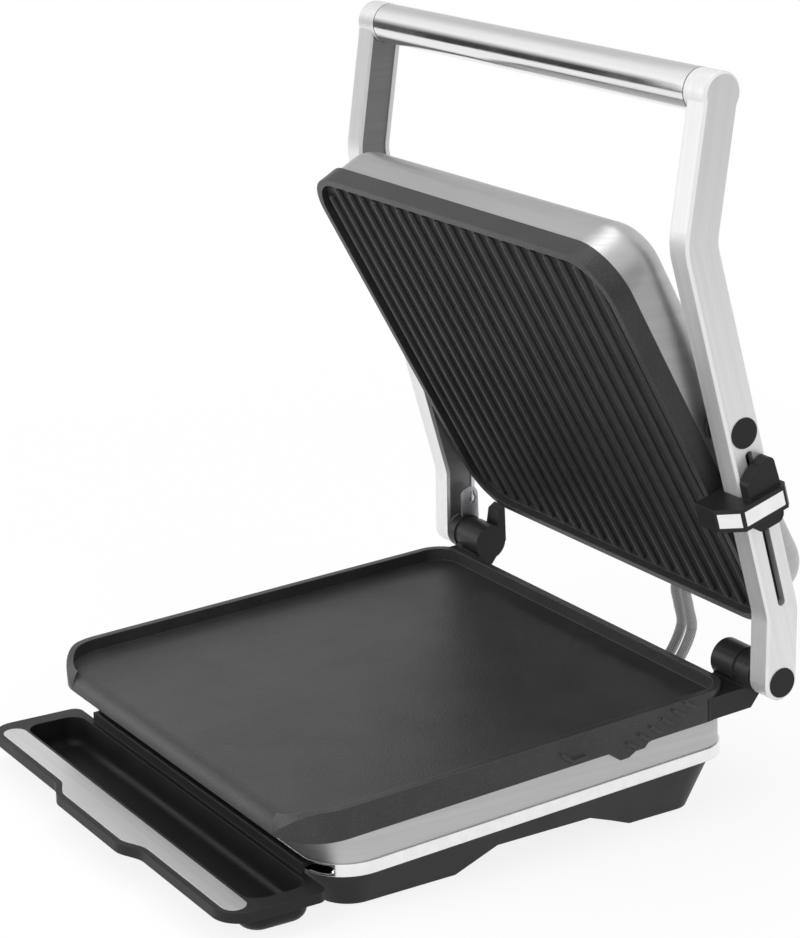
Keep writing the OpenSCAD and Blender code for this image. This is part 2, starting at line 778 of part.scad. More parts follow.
pin_head_r = 7;
pin_head_t = 2;
cap_t = 2.2;
cap_proud = 0.5;
cap_floor = arm_out + cap_proud - cap_t;
collar = 3.5;

module pin_holes(c) {
    bar_x(arm_in - 20, arm_out + 1, c, pin_r + running_fit);
    bar_x(cap_floor - pin_head_t, arm_out + 1, c, pin_head_r + 0.1);
    bar_x(cap_floor, arm_out + 1, c, cap_r + 0.1);
}

module arm(side) {
    color(cast_silver) mirrored(side) difference() {
        union() {
            arm_bar();
            bar_x(arm_in - collar, arm_out - arm_chamfer, head_c, bar_r);
            translate([arm_out - arm_chamfer, head_c[0], head_c[1]]) rotate([0, 90, 0])
                cylinder(h = arm_chamfer, r1 = bar_r, r2 = bar_r - arm_chamfer);
            bar_x(arm_in - collar - 12, arm_in + 1, head_c, bar_r - bar_wall - 0.05);
        }
        pin_holes(hinge_c);
        pin_holes(pivot_c);
        if (side > 0) shank_frame() arm_slot();
    }
}

module arm_slot() {
    translate([arm_in - 5, 0, 0]) rotate([90, 0, 90]) linear_extrude(arm_t + 10)
        stadium(slot_w, slot_low, slot_high);
}

module arm_left() { arm(-1); }
module arm_right() { arm(1); }

// Cover strips that close the pocket between the pivot bosses
liner_in = 1;
liner_t = 2;

module liner(side, upper) {
    color(cast_silver) mirrored(side) difference() {
        intersection() {
            translate([arm_in + liner_in, 0, 0]) about_x() linear_extrude(liner_t)
                polygon(arm_outline(pocket_w / 2 - 0.1));
            translate([0, -deck_d, upper ? pivot_c[1] : 0]) cube([deck_w, 3 * deck_d, pivot_c[1]
                + (upper ? shank_len : 0)]);
        }
        for (c = [hinge_c, pivot_c]) bar_x(arm_in - 1, arm_out, c, half_d + 0.2);
        bar_x(arm_in - 1, arm_out, head_c, bar_r + 0.2);
        if (side > 0) shank_frame() arm_slot();
    }
}

module upper_liner_left() { liner(-1, true); }
module upper_liner_right() { liner(1, true); }
module lower_liner_left() { liner(-1, false); }
module lower_liner_right() { liner(1, false); }

module handle_bar() {
    half = arm_in - collar;
    color(polished) difference() {
        bar_x(-half, half, head_c, bar_r);
        bar_x(-half - 1, half + 1, head_c, bar_r - bar_wall);
    }
}

module pin(side, c, x_end) {
    color(steel) mirrored(side) {
        bar_x(x_end, cap_floor, c, pin_r);
        bar_x(cap_floor - pin_head_t, cap_floor, c, pin_head_r);
    }
}

hinge_pin_end = boss_end - 28;
pivot_pin_end = shell_x - 14;

module hinge_pin_left() { pin(-1, hinge_c, hinge_pin_end); }
module hinge_pin_right() { pin(1, hinge_c, hinge_pin_end); }
module pivot_pin_left() { pin(-1, pivot_c, pivot_pin_end); }
module pivot_pin_right() { pin(1, pivot_c, pivot_pin_end); }

module pivot_spacer(side) {
    color(satin_black) mirrored(side) difference() {
        bar_x(lid_boss_end + 0.4, arm_in, pivot_c, 8);
        bar_x(lid_boss_end, arm_in + 1, pivot_c, pin_r + running_fit);
    }
}

module pivot_spacer_left() { pivot_spacer(-1); }
module pivot_spacer_right() { pivot_spacer(1); }

module cap(side, c) {
    color(satin_black) mirrored(side) bar_x(cap_floor, cap_floor + cap_t, c, cap_r);
}

module hinge_cap_left() { cap(-1, hinge_c); }
module hinge_cap_right() { cap(1, hinge_c); }
module pivot_cap_left() { cap(-1, pivot_c); }
module pivot_cap_right() { cap(1, pivot_c); }

// ---- Lid ----

plate_back = groove_floor + 4;
crest_r = rib_w / 2;
rib_inset = 11;

module lid_plan(inset) {
    round_plan(deck_w / 2 - inset, -lid_d + inset, -inset, front_r - inset, front_r - inset);
}

// Rib along y at x, with rounded crest and ends, shortened where the plate's corner curves
module rib(x) {
    corner_x = deck_w / 2 - front_r;
    reach = front_r - rib_inset + crest_r;
    over = max(abs(x) - corner_x, 0);
    trim = over > 0 ? reach - sqrt(max(reach * reach - over * over, 0)) : 0;
    y0 = -lid_d + rib_inset + trim;
    y1 = -rib_inset - trim;
    crest_z = rib_recess + crest_r;
    for (y = [y0, y1]) {
        translate([x, y, crest_z]) sphere(crest_r, $fn = 24);
        translate([x, y, crest_z]) cylinder(h = groove_floor - crest_z + 1, r = crest_r, $fn = 24);
    }
    translate([x, y1, crest_z]) rotate([90, 0, 0]) cylinder(h = y1 - y0, r = crest_r, $fn = 24);
    translate([x - crest_r, y0, crest_z]) cube([rib_w, y1 - y0, groove_floor - crest_z + 1]);
}

module lid_plate() {
    first = -(rib_count - 1) / 2 * rib_pitch;
    color(cast_black) lid_frame() difference() {
        union() {
            difference() {
                linear_extrude(lid_skirt_h) lid_plan(0);
                translate([0, 0, -1]) linear_extrude(groove_floor + 1) lid_plan(rim_t);
                translate([0, 0, plate_back]) linear_extrude(lid_skirt_h) lid_plan(rim_t);
            }
            for (i = [0:rib_count - 1]) rib(first + i * rib_pitch);
            for (y = lid_clamp_ys, x = clamp_xs)
                translate([x, y, plate_back - 1]) cylinder(h = lid_clamp_z - plate_back + 1, r = 4);
            for (y = lid_clamp_ys[0], x = [-post_x, post_x])
                translate([x, y + 40, plate_back - 1])
                    cylinder(h = lid_reflector_z - plate_back + 1, r = 5);
            for (y = lid_clamp_ys[1], x = [-post_x, post_x])
                translate([x, y - 40, plate_back - 1])
                    cylinder(h = lid_reflector_z - plate_back + 1, r = 5);
        }
        at_boss_screws() translate([0, 0, plate_back - 2]) cylinder(h = 8, r = 1.9);
    }
}

lid_element_z = plate_back + element_r + 0.1;
lid_clamp_z = lid_element_z + element_r + 0.1;
lid_clamp_ys = [-90, -165];
lid_reflector_z = lid_clamp_z + 3.5;

// Edge profile of the shell; t is how far it stands in from the outer face
module shell_edge(t) {
    r = shell_r - t;
    edge = shell_edge_r - t;
    wall_top = lid_skirt_h + shell_wall_h;
    translate([0, lid_skirt_h - t]) square([r, shell_wall_h + t]);
    translate([0, wall_top - 1]) square([r - edge, edge + 1]);
    intersection() {
        translate([r - edge, wall_top]) circle(edge, $fn = 96);
        translate([0, wall_top]) square([2 * r, 2 * edge]);
    }
}

module shell_body(t) {
    edge_body(shell_x - t, -lid_d + shell_inset + t, -shell_inset - t, shell_r - t,
        lid_skirt_h - t, lid_skirt_h + shell_wall_h + shell_edge_r - t) shell_edge(t);
}

lid_boss_r = 9;
lid_boss_end = deck_w / 2 + 1;

module lid_shell() {
    color(steel) difference() {
        lid_frame() difference() {
            shell_body(0);
            shell_body(shell_t);
            translate([0, 0, lid_gland_z]) gland_block(gland_wall - 1, -10, 5);
        }
        bar_x(-deck_w, deck_w, pivot_c, lid_boss_r + 0.1);
    }
}

module lid_element() {
    color(steel) lid_frame()
        heater(lid_element_z, element_r, -40, -68, -205, heater_bend, heater_xs);
}

module lid_element_clamps() {
    color(steel) lid_frame() for (y = lid_clamp_ys) clamp_bar(y, lid_clamp_z, 1.2);
}

module lid_reflector() {
    color(steel) lid_frame() translate([0, 0, lid_reflector_z]) linear_extrude(reflector_t)
        round_plan(deck_w / 2 - 40, -lid_d + 24, -24, 16, 16);
}

module lid_thermal_cutout() {
    color(satin_black) lid_frame() translate([0, thermostat_y + 14, plate_back])
        cylinder(h = 8, r = 9);
}

boss_block_w = 14;
boss_screw_dy = 14;

module at_boss_screws() {
    for (side = [-1, 1], dy = [-boss_screw_dy, boss_screw_dy])
        translate([side * (shell_x - 14), lid_pivot_y + dy, 0]) children();
}

// Pivot lug: foot bolted to the plate's back, boss that reaches through the shell's side
module lid_pivot_boss(side) {
    x0 = shell_x - 21;
    color(satin_black) lid_frame() difference() {
        mirrored(side) {
            translate([x0, lid_pivot_y - 19, plate_back]) cube([boss_block_w, 38, 3]);
            translate([x0, 0, 0]) about_x() linear_extrude(boss_block_w)
                polygon([[lid_pivot_y - 10, plate_back], [lid_pivot_y + 10, plate_back],
                    [lid_pivot_y + lid_boss_r, lid_pivot_h], [lid_pivot_y - lid_boss_r, lid_pivot_h]]);
            bar_x(x0, lid_boss_end, [lid_pivot_y, lid_pivot_h], lid_boss_r);
        }
        bar_x(-deck_w, deck_w, [lid_pivot_y, lid_pivot_h], pin_r + running_fit);
        at_boss_screws() cylinder(h = 20, r = 1.9);
    }
}

module lid_pivot_boss_left() { lid_pivot_boss(-1); }
module lid_pivot_boss_right() { lid_pivot_boss(1); }

module lid_boss_screws() {
    color(steel) lid_frame() at_boss_screws() {
        translate([0, 0, plate_back - 1.5]) cylinder(h = 5, r = 1.8);
        translate([0, 0, plate_back + 3]) cylinder(h = 2.2, r = 3.2);
    }
}

// ---- Height clip on the right arm ----

clip_in = arm_in - 4.2;
clip_out = arm_out + clip_outer;
clip_nose = arm_out - 2.5;
clip_cut = 9.5;

// Collar seen along the arm: x across it, y to its rear
module clip_collar() {
    difference() {
        polygon([[clip_in, -clip_front], [clip_nose, -clip_front],
            [clip_out, -clip_front + clip_cut], [clip_out, clip_rear - 3],
            [clip_out - 3, clip_rear], [clip_in, clip_rear]]);
        translate([arm_in - clip_gap, -half_d - clip_gap])
            square([arm_t + 2 * clip_gap, arm_d + 2 * clip_gap]);
    }
}

tab_t = 7;
tab_up = 21;
tab_w = 22;
tab_round = 4;
lobe_w = 20;
lobe_drop = 7;

// Thumb tab above the collar, with three rounded corners
module tab_outline() {
    a = [4 - tab_w / 2, clip_h + 8];
    b = a + [8, 6];
    c = [b[0] + 5, clip_h + tab_up - 2 - tab_round];
    for (p = [a, b, c]) translate(p) circle(tab_round);
    polygon([[a[0] - tab_round, clip_h - 1], [a[0] - tab_round, a[1]],
        a + tab_round * [-0.6, 0.8], b + tab_round * [-0.6, 0.8], [b[0], b[1] + tab_round],
        [c[0], c[1] + tab_round], [c[0] + tab_round, c[1]], [tab_w / 2, clip_h - 1]]);
}

// Flat lobe under the collar
module lobe_outline() {
    r = lobe_drop - 2;
    for (y = [r - lobe_w / 2 - 1, lobe_w / 2 - 1 - r]) translate([y, r - lobe_drop]) circle(r);
    translate([r - lobe_w / 2 - 1, -lobe_drop]) square([lobe_w - 2 * r, lobe_drop + 1]);
    translate([-lobe_w / 2 - 1, r - lobe_drop]) square([lobe_w, 3]);
}

module clip_body() {
    color(cast_black) shank_frame() translate([0, 0, clip_at]) difference() {
        union() {
            linear_extrude(clip_h) clip_collar();
            translate([arm_out + clip_gap + 0.6, 0, 0]) rotate([90, 0, 90])
                linear_extrude(tab_t) {
                    tab_outline();
                    lobe_outline();
                }
        }
        translate([0, 0, clip_h / 2]) clip_trim_cut();
    }
}

trim_face_h = 9;
trim_sheet = 1;
trim_gap = 1.4;

// Bright strips let into the collar's slanted and outer faces
module trim_outline(depth, from_face) {
    slant = atan2(clip_cut, clip_out - clip_nose);
    slant_len = norm([clip_cut, clip_out - clip_nose]);
    translate([clip_nose, -clip_front]) rotate(slant)
        translate([1.2, from_face]) square([slant_len - 1.2 - trim_gap, depth]);
    translate([clip_out - from_face - depth, -clip_front + clip_cut + trim_gap])
        square([depth, clip_front - clip_cut + clip_rear - 4.5 - trim_gap]);
}

module clip_trim_cut() {
    translate([0, 0, -trim_face_h / 2]) linear_extrude(trim_face_h)
        trim_outline(trim_sheet + 1, -1);
}

module clip_trim() {
    color(polished) shank_frame() translate([0, 0, clip_at + clip_h / 2 - trim_face_h / 2 + 0.05])
        linear_extrude(trim_face_h - 0.1) trim_outline(trim_sheet - 0.05, 0);
}

keeper_w = 12;
keeper_t = 3;

// Keeper plate in the arm's pocket, whose tongue runs in the slot and carries the clip
module clip_keeper() {
    color(steel) shank_frame() translate([0, 0, clip_at]) {
        translate([arm_in + pocket_t - 1 - keeper_t, -keeper_w / 2, 1])
            cube([keeper_t, keeper_w, clip_h - 2]);
        translate([arm_in + pocket_t - 2, 0, 0]) rotate([90, 0, 90])
            linear_extrude(arm_out + clip_gap - arm_in - pocket_t + 2)
                stadium(slot_w - 0.6, 1, clip_h - 1);
    }
}

// ---- Drip tray ----

front_level = on_deck(housing_front, pan_top);
tray_rear = front_level[0] - 0.9;
tray_front = tray_rear - tray_d;
tray_r = 16;
tongue_half = [36, 56];
trough_half = tray_w / 2 - flange_end;
trough_y = [tray_front + flange_front, tray_rear - flange_rear];
trough_floor = 0.4;
trough_corner = 12;

tongue_steps = 8;

// Soft shoulder from a to b, level at both ends
function shoulder(a, b) = [for (i = [0:tongue_steps]) let (t = i / tongue_steps)
    [a[0] + (b[0] - a[0]) * t, a[1] + (b[1] - a[1]) * t * t * (3 - 2 * t)]];

// Grip tongue: out to the half-widths ends, from y over to y - tongue, back to the line at y_in
module tongue_plan(ends, y, y_in) {
    polygon(concat([[-ends[1], y_in]], shoulder([-ends[1], y], [-ends[0], y - tongue]),
        shoulder([ends[0], y - tongue], [ends[1], y]), [[ends[1], y_in]]));
}

module tray_outline(inset) {
    round_plan(tray_w / 2 - inset, tray_front + inset, tray_rear - inset, tray_r - inset, 6 - inset);
    tongue_plan(tongue_half, tray_front + inset, tray_front + inset + 2);
}

// Edge profile of the trough; t is how far it stands in from the outer face
module trough_edge(t, top) {
    r = trough_corner - t;
    round_r = trough_r - t;
    round_z = trough_floor + trough_r;
    translate([0, round_z]) square([r, top - round_z]);
    translate([0, trough_floor + t]) square([r - round_r, top - trough_floor - t]);
    translate([r - round_r, round_z]) intersection() {
        circle(round_r);
        translate([0, -round_r]) square(round_r);
    }
}

module trough(t, top) {
    edge_body(trough_half + tray_wall - t, trough_y[0] - tray_wall + t,
        trough_y[1] + tray_wall - t, trough_corner - t, trough_floor + t, top)
        trough_edge(t, top);
}

mouth_low = on_deck(housing_front, mouth_z0)[1];
hook_half = 125;
hook_z = [mouth_low + 1.2, mouth_low + 3.6];

module rear_hook() {
    translate([-hook_half, tray_rear - 2, tray_h - 1]) cube([2 * hook_half, 2, hook_z[1] - tray_h + 1]);
    translate([-hook_half, tray_rear - 2, hook_z[0]])
        cube([2 * hook_half, hook_in + 2, hook_z[1] - hook_z[0]]);
}

strip_y = [tray_front + 3.5, tray_front + 17.5];
strip_x = [-139, 145];
strip_t = 1;

module strip_outline(grow) {
    r = (strip_y[1] - strip_y[0]) / 2 + grow;
    mid = (strip_y[0] + strip_y[1]) / 2;
    translate([strip_x[0] + r, mid - r]) square([strip_x[1] - strip_x[0] - 2 * r, 2 * r]);
    for (x = [strip_x[0] + r, strip_x[1] - r]) translate([x, mid]) circle(r);
    tongue_plan([tongue_half[0] - 1, tongue_half[1] - 1] + [grow, grow], strip_y[0] - grow, mid);
}

module drip_tray() {
    color(satin_black) difference() {
        union() {
            translate([0, 0, tray_h - flange_h]) linear_extrude(flange_h) difference() {
                tray_outline(0);
                tray_outline(tray_wall);
            }
            translate([0, 0, tray_h - tray_wall]) linear_extrude(tray_wall) tray_outline(0);
            trough(0, tray_h);
            rear_hook();
        }
        trough(tray_wall, tray_h + 1);
        translate([0, 0, tray_h - strip_t / 2]) linear_extrude(strip_t) strip_outline(0.05);
    }
}

module tray_trim() {
    color(steel) translate([0, 0, tray_h - strip_t / 2]) linear_extrude(strip_t) strip_outline(0);
}

base_plate();
side_band();
lower_trim();
base_pan();
foot_pad_front_left();
foot_pad_front_right();
foot_pad_rear_left();
foot_pad_rear_right();
base_element();
base_element_clamps();
base_reflector();
base_thermostat();
base_screws();
hinge_bracket_left();
hinge_bracket_right();
bracket_screws();
hinge_washer_left();
hinge_washer_right();
stop_plate();
lid_rest_post();
loom_gland_base();
power_loom();
arm_left();
arm_right();
upper_liner_left();
upper_liner_right();
lower_liner_left();
lower_liner_right();
handle_bar();
hinge_pin_left();
hinge_pin_right();
pivot_pin_left();
pivot_pin_right();
pivot_spacer_left();
pivot_spacer_right();
hinge_cap_left();
hinge_cap_right();
pivot_cap_left();
pivot_cap_right();
lid_plate();
lid_shell();
lid_element();
lid_element_clamps();
lid_reflector();
lid_thermal_cutout();
lid_pivot_boss_left();
lid_pivot_boss_right();
lid_boss_screws();
loom_gland_lid();
clip_body();
clip_trim();
clip_keeper();
drip_tray();
tray_trim();
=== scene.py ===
# %% [markdown]
# # A countertop contact grill with its lid open
#
# This lesson dresses a finished CAD model for a picture. The model brings every rigid part in its
# true place and size, in metres, with Z up and the table at zero. Blender adds what CAD can't
# hold: the finish of each surface, the braided wire looms, soft light and a camera.
#
# The first cell loads the model and defines the helpers that later cells share, among them one that
# measures the box of a part.

# %% Load the model
import bmesh
import bpy
import json
import math
from mathutils import Matrix, Vector


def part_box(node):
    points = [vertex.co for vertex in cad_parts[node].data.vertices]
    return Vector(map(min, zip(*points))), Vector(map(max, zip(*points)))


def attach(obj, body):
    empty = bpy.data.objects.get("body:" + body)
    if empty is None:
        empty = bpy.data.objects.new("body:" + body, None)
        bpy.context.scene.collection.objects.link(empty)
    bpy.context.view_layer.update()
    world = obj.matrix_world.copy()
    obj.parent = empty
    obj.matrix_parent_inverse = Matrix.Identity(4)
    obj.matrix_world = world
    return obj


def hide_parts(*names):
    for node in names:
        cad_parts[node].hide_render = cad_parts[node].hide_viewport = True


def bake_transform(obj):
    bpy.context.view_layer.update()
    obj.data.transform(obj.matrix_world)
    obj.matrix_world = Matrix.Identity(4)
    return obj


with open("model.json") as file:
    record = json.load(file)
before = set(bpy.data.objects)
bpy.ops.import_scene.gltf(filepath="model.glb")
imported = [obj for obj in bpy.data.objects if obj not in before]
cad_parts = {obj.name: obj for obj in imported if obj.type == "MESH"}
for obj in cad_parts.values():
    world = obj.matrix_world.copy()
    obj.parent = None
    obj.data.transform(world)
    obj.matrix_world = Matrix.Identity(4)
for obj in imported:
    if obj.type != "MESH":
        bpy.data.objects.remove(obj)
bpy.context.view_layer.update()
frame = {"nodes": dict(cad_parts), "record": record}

# %% [markdown]
# ## The camera
#
# The grill is seen from about a metre and a half away with a long lens, so that upright edges
# stay nearly upright. We could aim the camera with a Track To constraint, but a matrix built from
# three directions is exact: right, up and back are its columns. The sensor's 36 mm span the
# taller side of the frame.

# %% Camera
view_azimuth = math.radians(57.66)
view_height = math.radians(17.11)
camera_spot = Vector((1.24727, -0.77628, 0.64440))
back = Vector((math.sin(view_azimuth) * math.cos(view_height),
               -math.cos(view_azimuth) * math.cos(view_height), math.sin(view_height)))
right = Vector((math.cos(view_azimuth), math.sin(view_azimuth), 0.0))
up = back.cross(right)

camera_data = bpy.data.cameras.new("product_camera")
camera_data.sensor_width = 36.0
camera_data.lens = 102.57
camera_data.clip_start = 0.05
camera_data.clip_end = 40.0
camera = bpy.data.objects.new("product_camera", camera_data)
turn = Matrix((right, up, back)).transposed().to_4x4()
camera.matrix_world = Matrix.Translation(camera_spot) @ turn
bpy.context.scene.collection.objects.link(camera)
bpy.context.scene.camera = camera
print("camera at", tuple(round(v, 3) for v in camera.location))

# %% [markdown]
# ## Two looms of braided sleeve
#
# The lid has a heater of its own, so its wires leave the base at the back, swing out in a bow and
# enter the lid. On the real grill they run in two steel-braided sleeves, 6.4 mm thick, side by
# side. A curve with a round bevel would give the shape, but a tube that is extruded ring by ring
# with bmesh lets us give every face its own place in a UV map. The braid then follows the bow.
#
# The route is one smooth line through a few points, with X constant, so each point holds a Y and
# a Z. Each sleeve is made in two halves that meet at the back of the bow. The lower one runs
# between the base and the arms, and the upper one between the arms and the lid.

# %% Route of the looms
loom_radius = 0.0032
loom_offsets = (0.041, 0.051)
base_gland = Vector((0.144037, 0.050933))
lid_gland = Vector((0.189228, 0.116413))
route_marks = [base_gland, base_gland + Vector((0.006, -0.001)), Vector((0.161, 0.043)),
               Vector((0.173, 0.046)), Vector((0.184, 0.056)), Vector((0.1915, 0.072)),
               Vector((0.1888, 0.086)), Vector((0.1862, 0.097)), Vector((0.1888, 0.1055)),
               lid_gland + Vector((0.0023, -0.0045)), lid_gland]
marks_to_bow = 5
steps_per_mark = 8


def along_marks(marks, i, t):
    """The point at share t between mark i and the next one, on a smooth line through all."""
    a, b = marks[max(i - 1, 0)], marks[i]
    c, d = marks[i + 1], marks[min(i + 2, len(marks) - 1)]
    return 0.5 * (2 * b + (c - a) * t + (2 * a - 5 * b + 4 * c - d) * t * t
                  + (3 * b - a - 3 * c + d) * t ** 3)


route = [along_marks(route_marks, i, s / steps_per_mark)
         for i in range(len(route_marks) - 1) for s in range(steps_per_mark)] + [route_marks[-1]]
bow = marks_to_bow * steps_per_mark
loom_length = sum((q - p).length for p, q in zip(route, route[1:]))
print("loom route:", len(route), "points,", round(loom_length * 1000, 1), "mm")

# %% [markdown]
# ### Rings that face along the route
#
# A tube is a row of rings. A ring is drawn flat, so it needs a transform that carries it to its
# point and turns it. The rings could be turned by hand, but the direction from the point before
# to the point after is always right, also where the route bends tightly.

# %% Stand a ring on the route
ring_points = 20


def stand_at(points, i, x):
    """A transform that puts a flat ring at point i, facing along the route."""
    ahead = points[min(i + 1, len(points) - 1)] - points[max(i - 1, 0)]
    ahead = Vector((0.0, ahead.x, ahead.y)).normalized()
    side = Vector((1.0, 0.0, 0.0))
    turned = Matrix((side, ahead.cross(side), ahead)).transposed().to_4x4()
    return Matrix.Translation((x, points[i].x, points[i].y)) @ turned


# %% [markdown]
# ### A map that is unrolled as the tube grows
#
# The braid needs a UV map that keeps the distance along the tube in U and the distance round it
# in V, both in metres. Unwrapping a finished tube would need a marked seam. Here each new face is
# laid out at once, from the angle of its corners. The angles are taken on the same side as the
# face's middle, so that the face that closes the ring doesn't stretch back over the whole map.

# %% Unroll one face
def unroll(face, uv, new_ring, places, runs):
    """Writes a face's place in the map. places and runs hold the old ring's, then the new one's."""
    middle = places[0].inverted() @ face.calc_center_median()
    middle_angle = math.atan2(middle.y, middle.x)
    for loop in face.loops:
        which = int(loop.vert in new_ring)
        spot = places[which].inverted() @ loop.vert.co
        angle = math.atan2(spot.y, spot.x)
        angle += math.tau * round((middle_angle - angle) / math.tau)
        loop[uv].uv = (runs[which], angle * loom_radius)


# %% [markdown]
# ### The same piece on every run
#
# The operators make the same faces each time, but they may list them in any order. The piece
# looks alike either way. Sorting the faces by their corners makes its file alike too.

# %% Put the faces in order
def sort_faces(bm):
    """Lists the faces by their last corner, and then by their first."""
    bm.verts.index_update()
    count = len(bm.verts)
    bm.faces.sort(key=lambda face: count * max(v.index for v in face.verts)
                  + min(v.index for v in face.verts))


# %% [markdown]
# ### The tube itself
#
# The tube starts as one circle of 20 points. `extrude_edge_only` copies the ring, and a transform
# carries the copy to the next point. The last step closes the ends, so that the sleeve looks
# solid where it meets the grommet.

# %% Tube maker
def sleeve(name, points, x, run_before):
    """A closed tube along points in the plane X = x, with U along it and V round it."""
    bm = bmesh.new()
    ring = bmesh.ops.create_circle(bm, segments=ring_points, radius=loom_radius)["verts"]
    place = stand_at(points, 0, x)
    bmesh.ops.transform(bm, matrix=place, verts=ring)
    first_edges = list(bm.edges)
    edges = first_edges
    uv = bm.loops.layers.uv.new("braid")
    run = run_before
    for i in range(1, len(points)):
        grown = bmesh.ops.extrude_edge_only(bm, edges=edges)["geom"]
        ring = [g for g in grown if isinstance(g, bmesh.types.BMVert)]
        edges = [g for g in grown if isinstance(g, bmesh.types.BMEdge)
                 and all(v in ring for v in g.verts)]
        new_place = stand_at(points, i, x)
        bmesh.ops.transform(bm, matrix=new_place @ place.inverted(), verts=ring)
        new_run = run + (points[i] - points[i - 1]).length
        for face in {f for e in edges for f in e.link_faces}:
            unroll(face, uv, ring, (place, new_place), (run, new_run))
        run, place = new_run, new_place
    bmesh.ops.holes_fill(bm, edges=first_edges + edges, sides=ring_points)
    bmesh.ops.recalc_face_normals(bm, faces=bm.faces)
    sort_faces(bm)
    mesh = bpy.data.meshes.new(name)
    bm.to_mesh(mesh)
    bm.free()
    mesh.shade_smooth()
    piece = bpy.data.objects.new(name, mesh)
    bpy.context.scene.collection.objects.link(piece)
    return piece, run


# %% [markdown]
# ### Four halves for one hidden node
#
# When the lid closes, the arms turn on the base and the lid turns on the arms. A stiff tube would
# tear out of its grommets. Together the four halves stand for one node of the model, which is
# hidden.

# %% Make the four sleeve halves
looms = []
for label, x in zip(("inner", "outer"), loom_offsets):
    for half, points, bodies in (("lower", route[:bow + 1], ("base", "arms")),
                                 ("upper", route[bow:], ("arms", "lid"))):
        before = 0.0 if half == "lower" else run_at_bow
        piece, run_at_end = sleeve(f"loom_{label}_{half}", points, x, before)
        if half == "lower":
            run_at_bow = run_at_end
        spots = [(x, p.x, p.y) for p in points]
        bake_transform(piece)
        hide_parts("power_loom")
        looms.append((piece, spots, run_at_end - before))
for piece, spots, length in looms:
    print(piece.name, len(piece.data.polygons), "faces,", round(length * 1000, 1), "mm")

# %% [markdown]
# A sleeve that is held at both ends is still something flexible. Each half keeps its real length
# and the line that it follows, and the upper half's run goes on from the lower one's.

print("cords:", len(looms))

# %% [markdown]
# ## Painted shadow lines at the ends of the handle bar
#
# Where the bar meets the cast collars there is a fine joint, and the shade in its gap shows as a
# dark line. A dark stripe could be painted in the metal, but a hair-thin black ring, a painted
# shadow, stays crisp from every side. One small square is spun round the bar's axis, and the ring
# stands out by a twentieth of a millimetre.

# %% Spin the two rings of painted shadow
bar_low, bar_high = (Vector(corner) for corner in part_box("handle_bar"))
bar_middle = (bar_low + bar_high) / 2
seam_proud = 0.00005
seam_radius = (bar_high.z - bar_low.z) / 2 + seam_proud
seam_width, seam_depth = 0.0006, 0.0004
seam_steps = 72
shadow_rings = []
for label, x in (("left", bar_low.x), ("right", bar_high.x)):
    bm = bmesh.new()
    corners = [bm.verts.new((x + dx, bar_middle.y, bar_middle.z + seam_radius - down))
               for dx, down in ((-seam_width / 2, seam_depth), (seam_width / 2, seam_depth),
                                (seam_width / 2, 0.0), (-seam_width / 2, 0.0))]
    outline = [bm.edges.new((corners[i - 1], corners[i])) for i in range(4)]
    bmesh.ops.spin(bm, geom=corners + outline, cent=(x, bar_middle.y, bar_middle.z),
                   axis=(1.0, 0.0, 0.0), angle=math.tau, steps=seam_steps, use_merge=True)
    bmesh.ops.recalc_face_normals(bm, faces=bm.faces)
    sort_faces(bm)
    shadow_ring_mesh = bpy.data.meshes.new(f"bar_seam_shadow_{label}")
    bm.to_mesh(shadow_ring_mesh)
    bm.free()
    shadow_ring = bpy.data.objects.new(f"bar_seam_shadow_{label}", shadow_ring_mesh)
    bpy.context.scene.collection.objects.link(shadow_ring)
    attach(shadow_ring, "arms")
    shadow_rings.append(shadow_ring)
print("seams:", [len(shadow_ring.data.polygons) for shadow_ring in shadow_rings], "faces")

# %% [markdown]
# ## Building blocks for the finishes
#
# A finish is more than a colour. Coated metal has a fine grain, brushed metal has long scratches,
# and everything that is used has faint smears that change how sharply it reflects. These effects
# are needed in many materials, so each is a node group that is made once. A group only feeds
# colour, roughness and bump. The shader itself stays in the material.

# %% Small helpers for node trees
def place_node(tree, kind, settings=None, **inputs):
    """Adds a node, sets its options, and fills its inputs by name with a value or a link."""
    made = tree.nodes.new(kind)
    for key, value in (settings or {}).items():
        setattr(made, key, value)
    for key, value in inputs.items():
        feed(tree, made, key.replace("_", " "), value)
    return made


def feed(tree, target, socket_name, value):
    """Links an output to an input, by name or number, or writes a plain value on it."""
    socket = target.inputs[socket_name]
    if isinstance(value, bpy.types.NodeSocket):
        tree.links.new(value, socket)
    else:
        socket.default_value = value


def new_group(name, inputs, outputs):
    """An empty node group with its sockets, and its two end nodes."""
    group = bpy.data.node_groups.new(name, "ShaderNodeTree")
    for label, kind in inputs:
        group.interface.new_socket(label, in_out="INPUT", socket_type=kind)
    for label, kind in outputs:
        group.interface.new_socket(label, in_out="OUTPUT", socket_type=kind)
    return group, group.nodes.new("NodeGroupInput"), group.nodes.new("NodeGroupOutput")


def arithmetic(tree, operation, *values):
    """One maths node on values or links, in the order of its inputs."""
    made = place_node(tree, "ShaderNodeMath", {"operation": operation})
    for i, value in enumerate(values):
        feed(tree, made, i, value)
    return made.outputs[0]


# %% [markdown]
# ### Grain
#
# Sprayed non-stick coating and moulded plastic are both slightly pebbled. Two noises do it: a
# tight one for the pebbles and a loose one that makes their depth uneven. The group's Size is in
# millimetres, which is easier to judge than a noise scale.

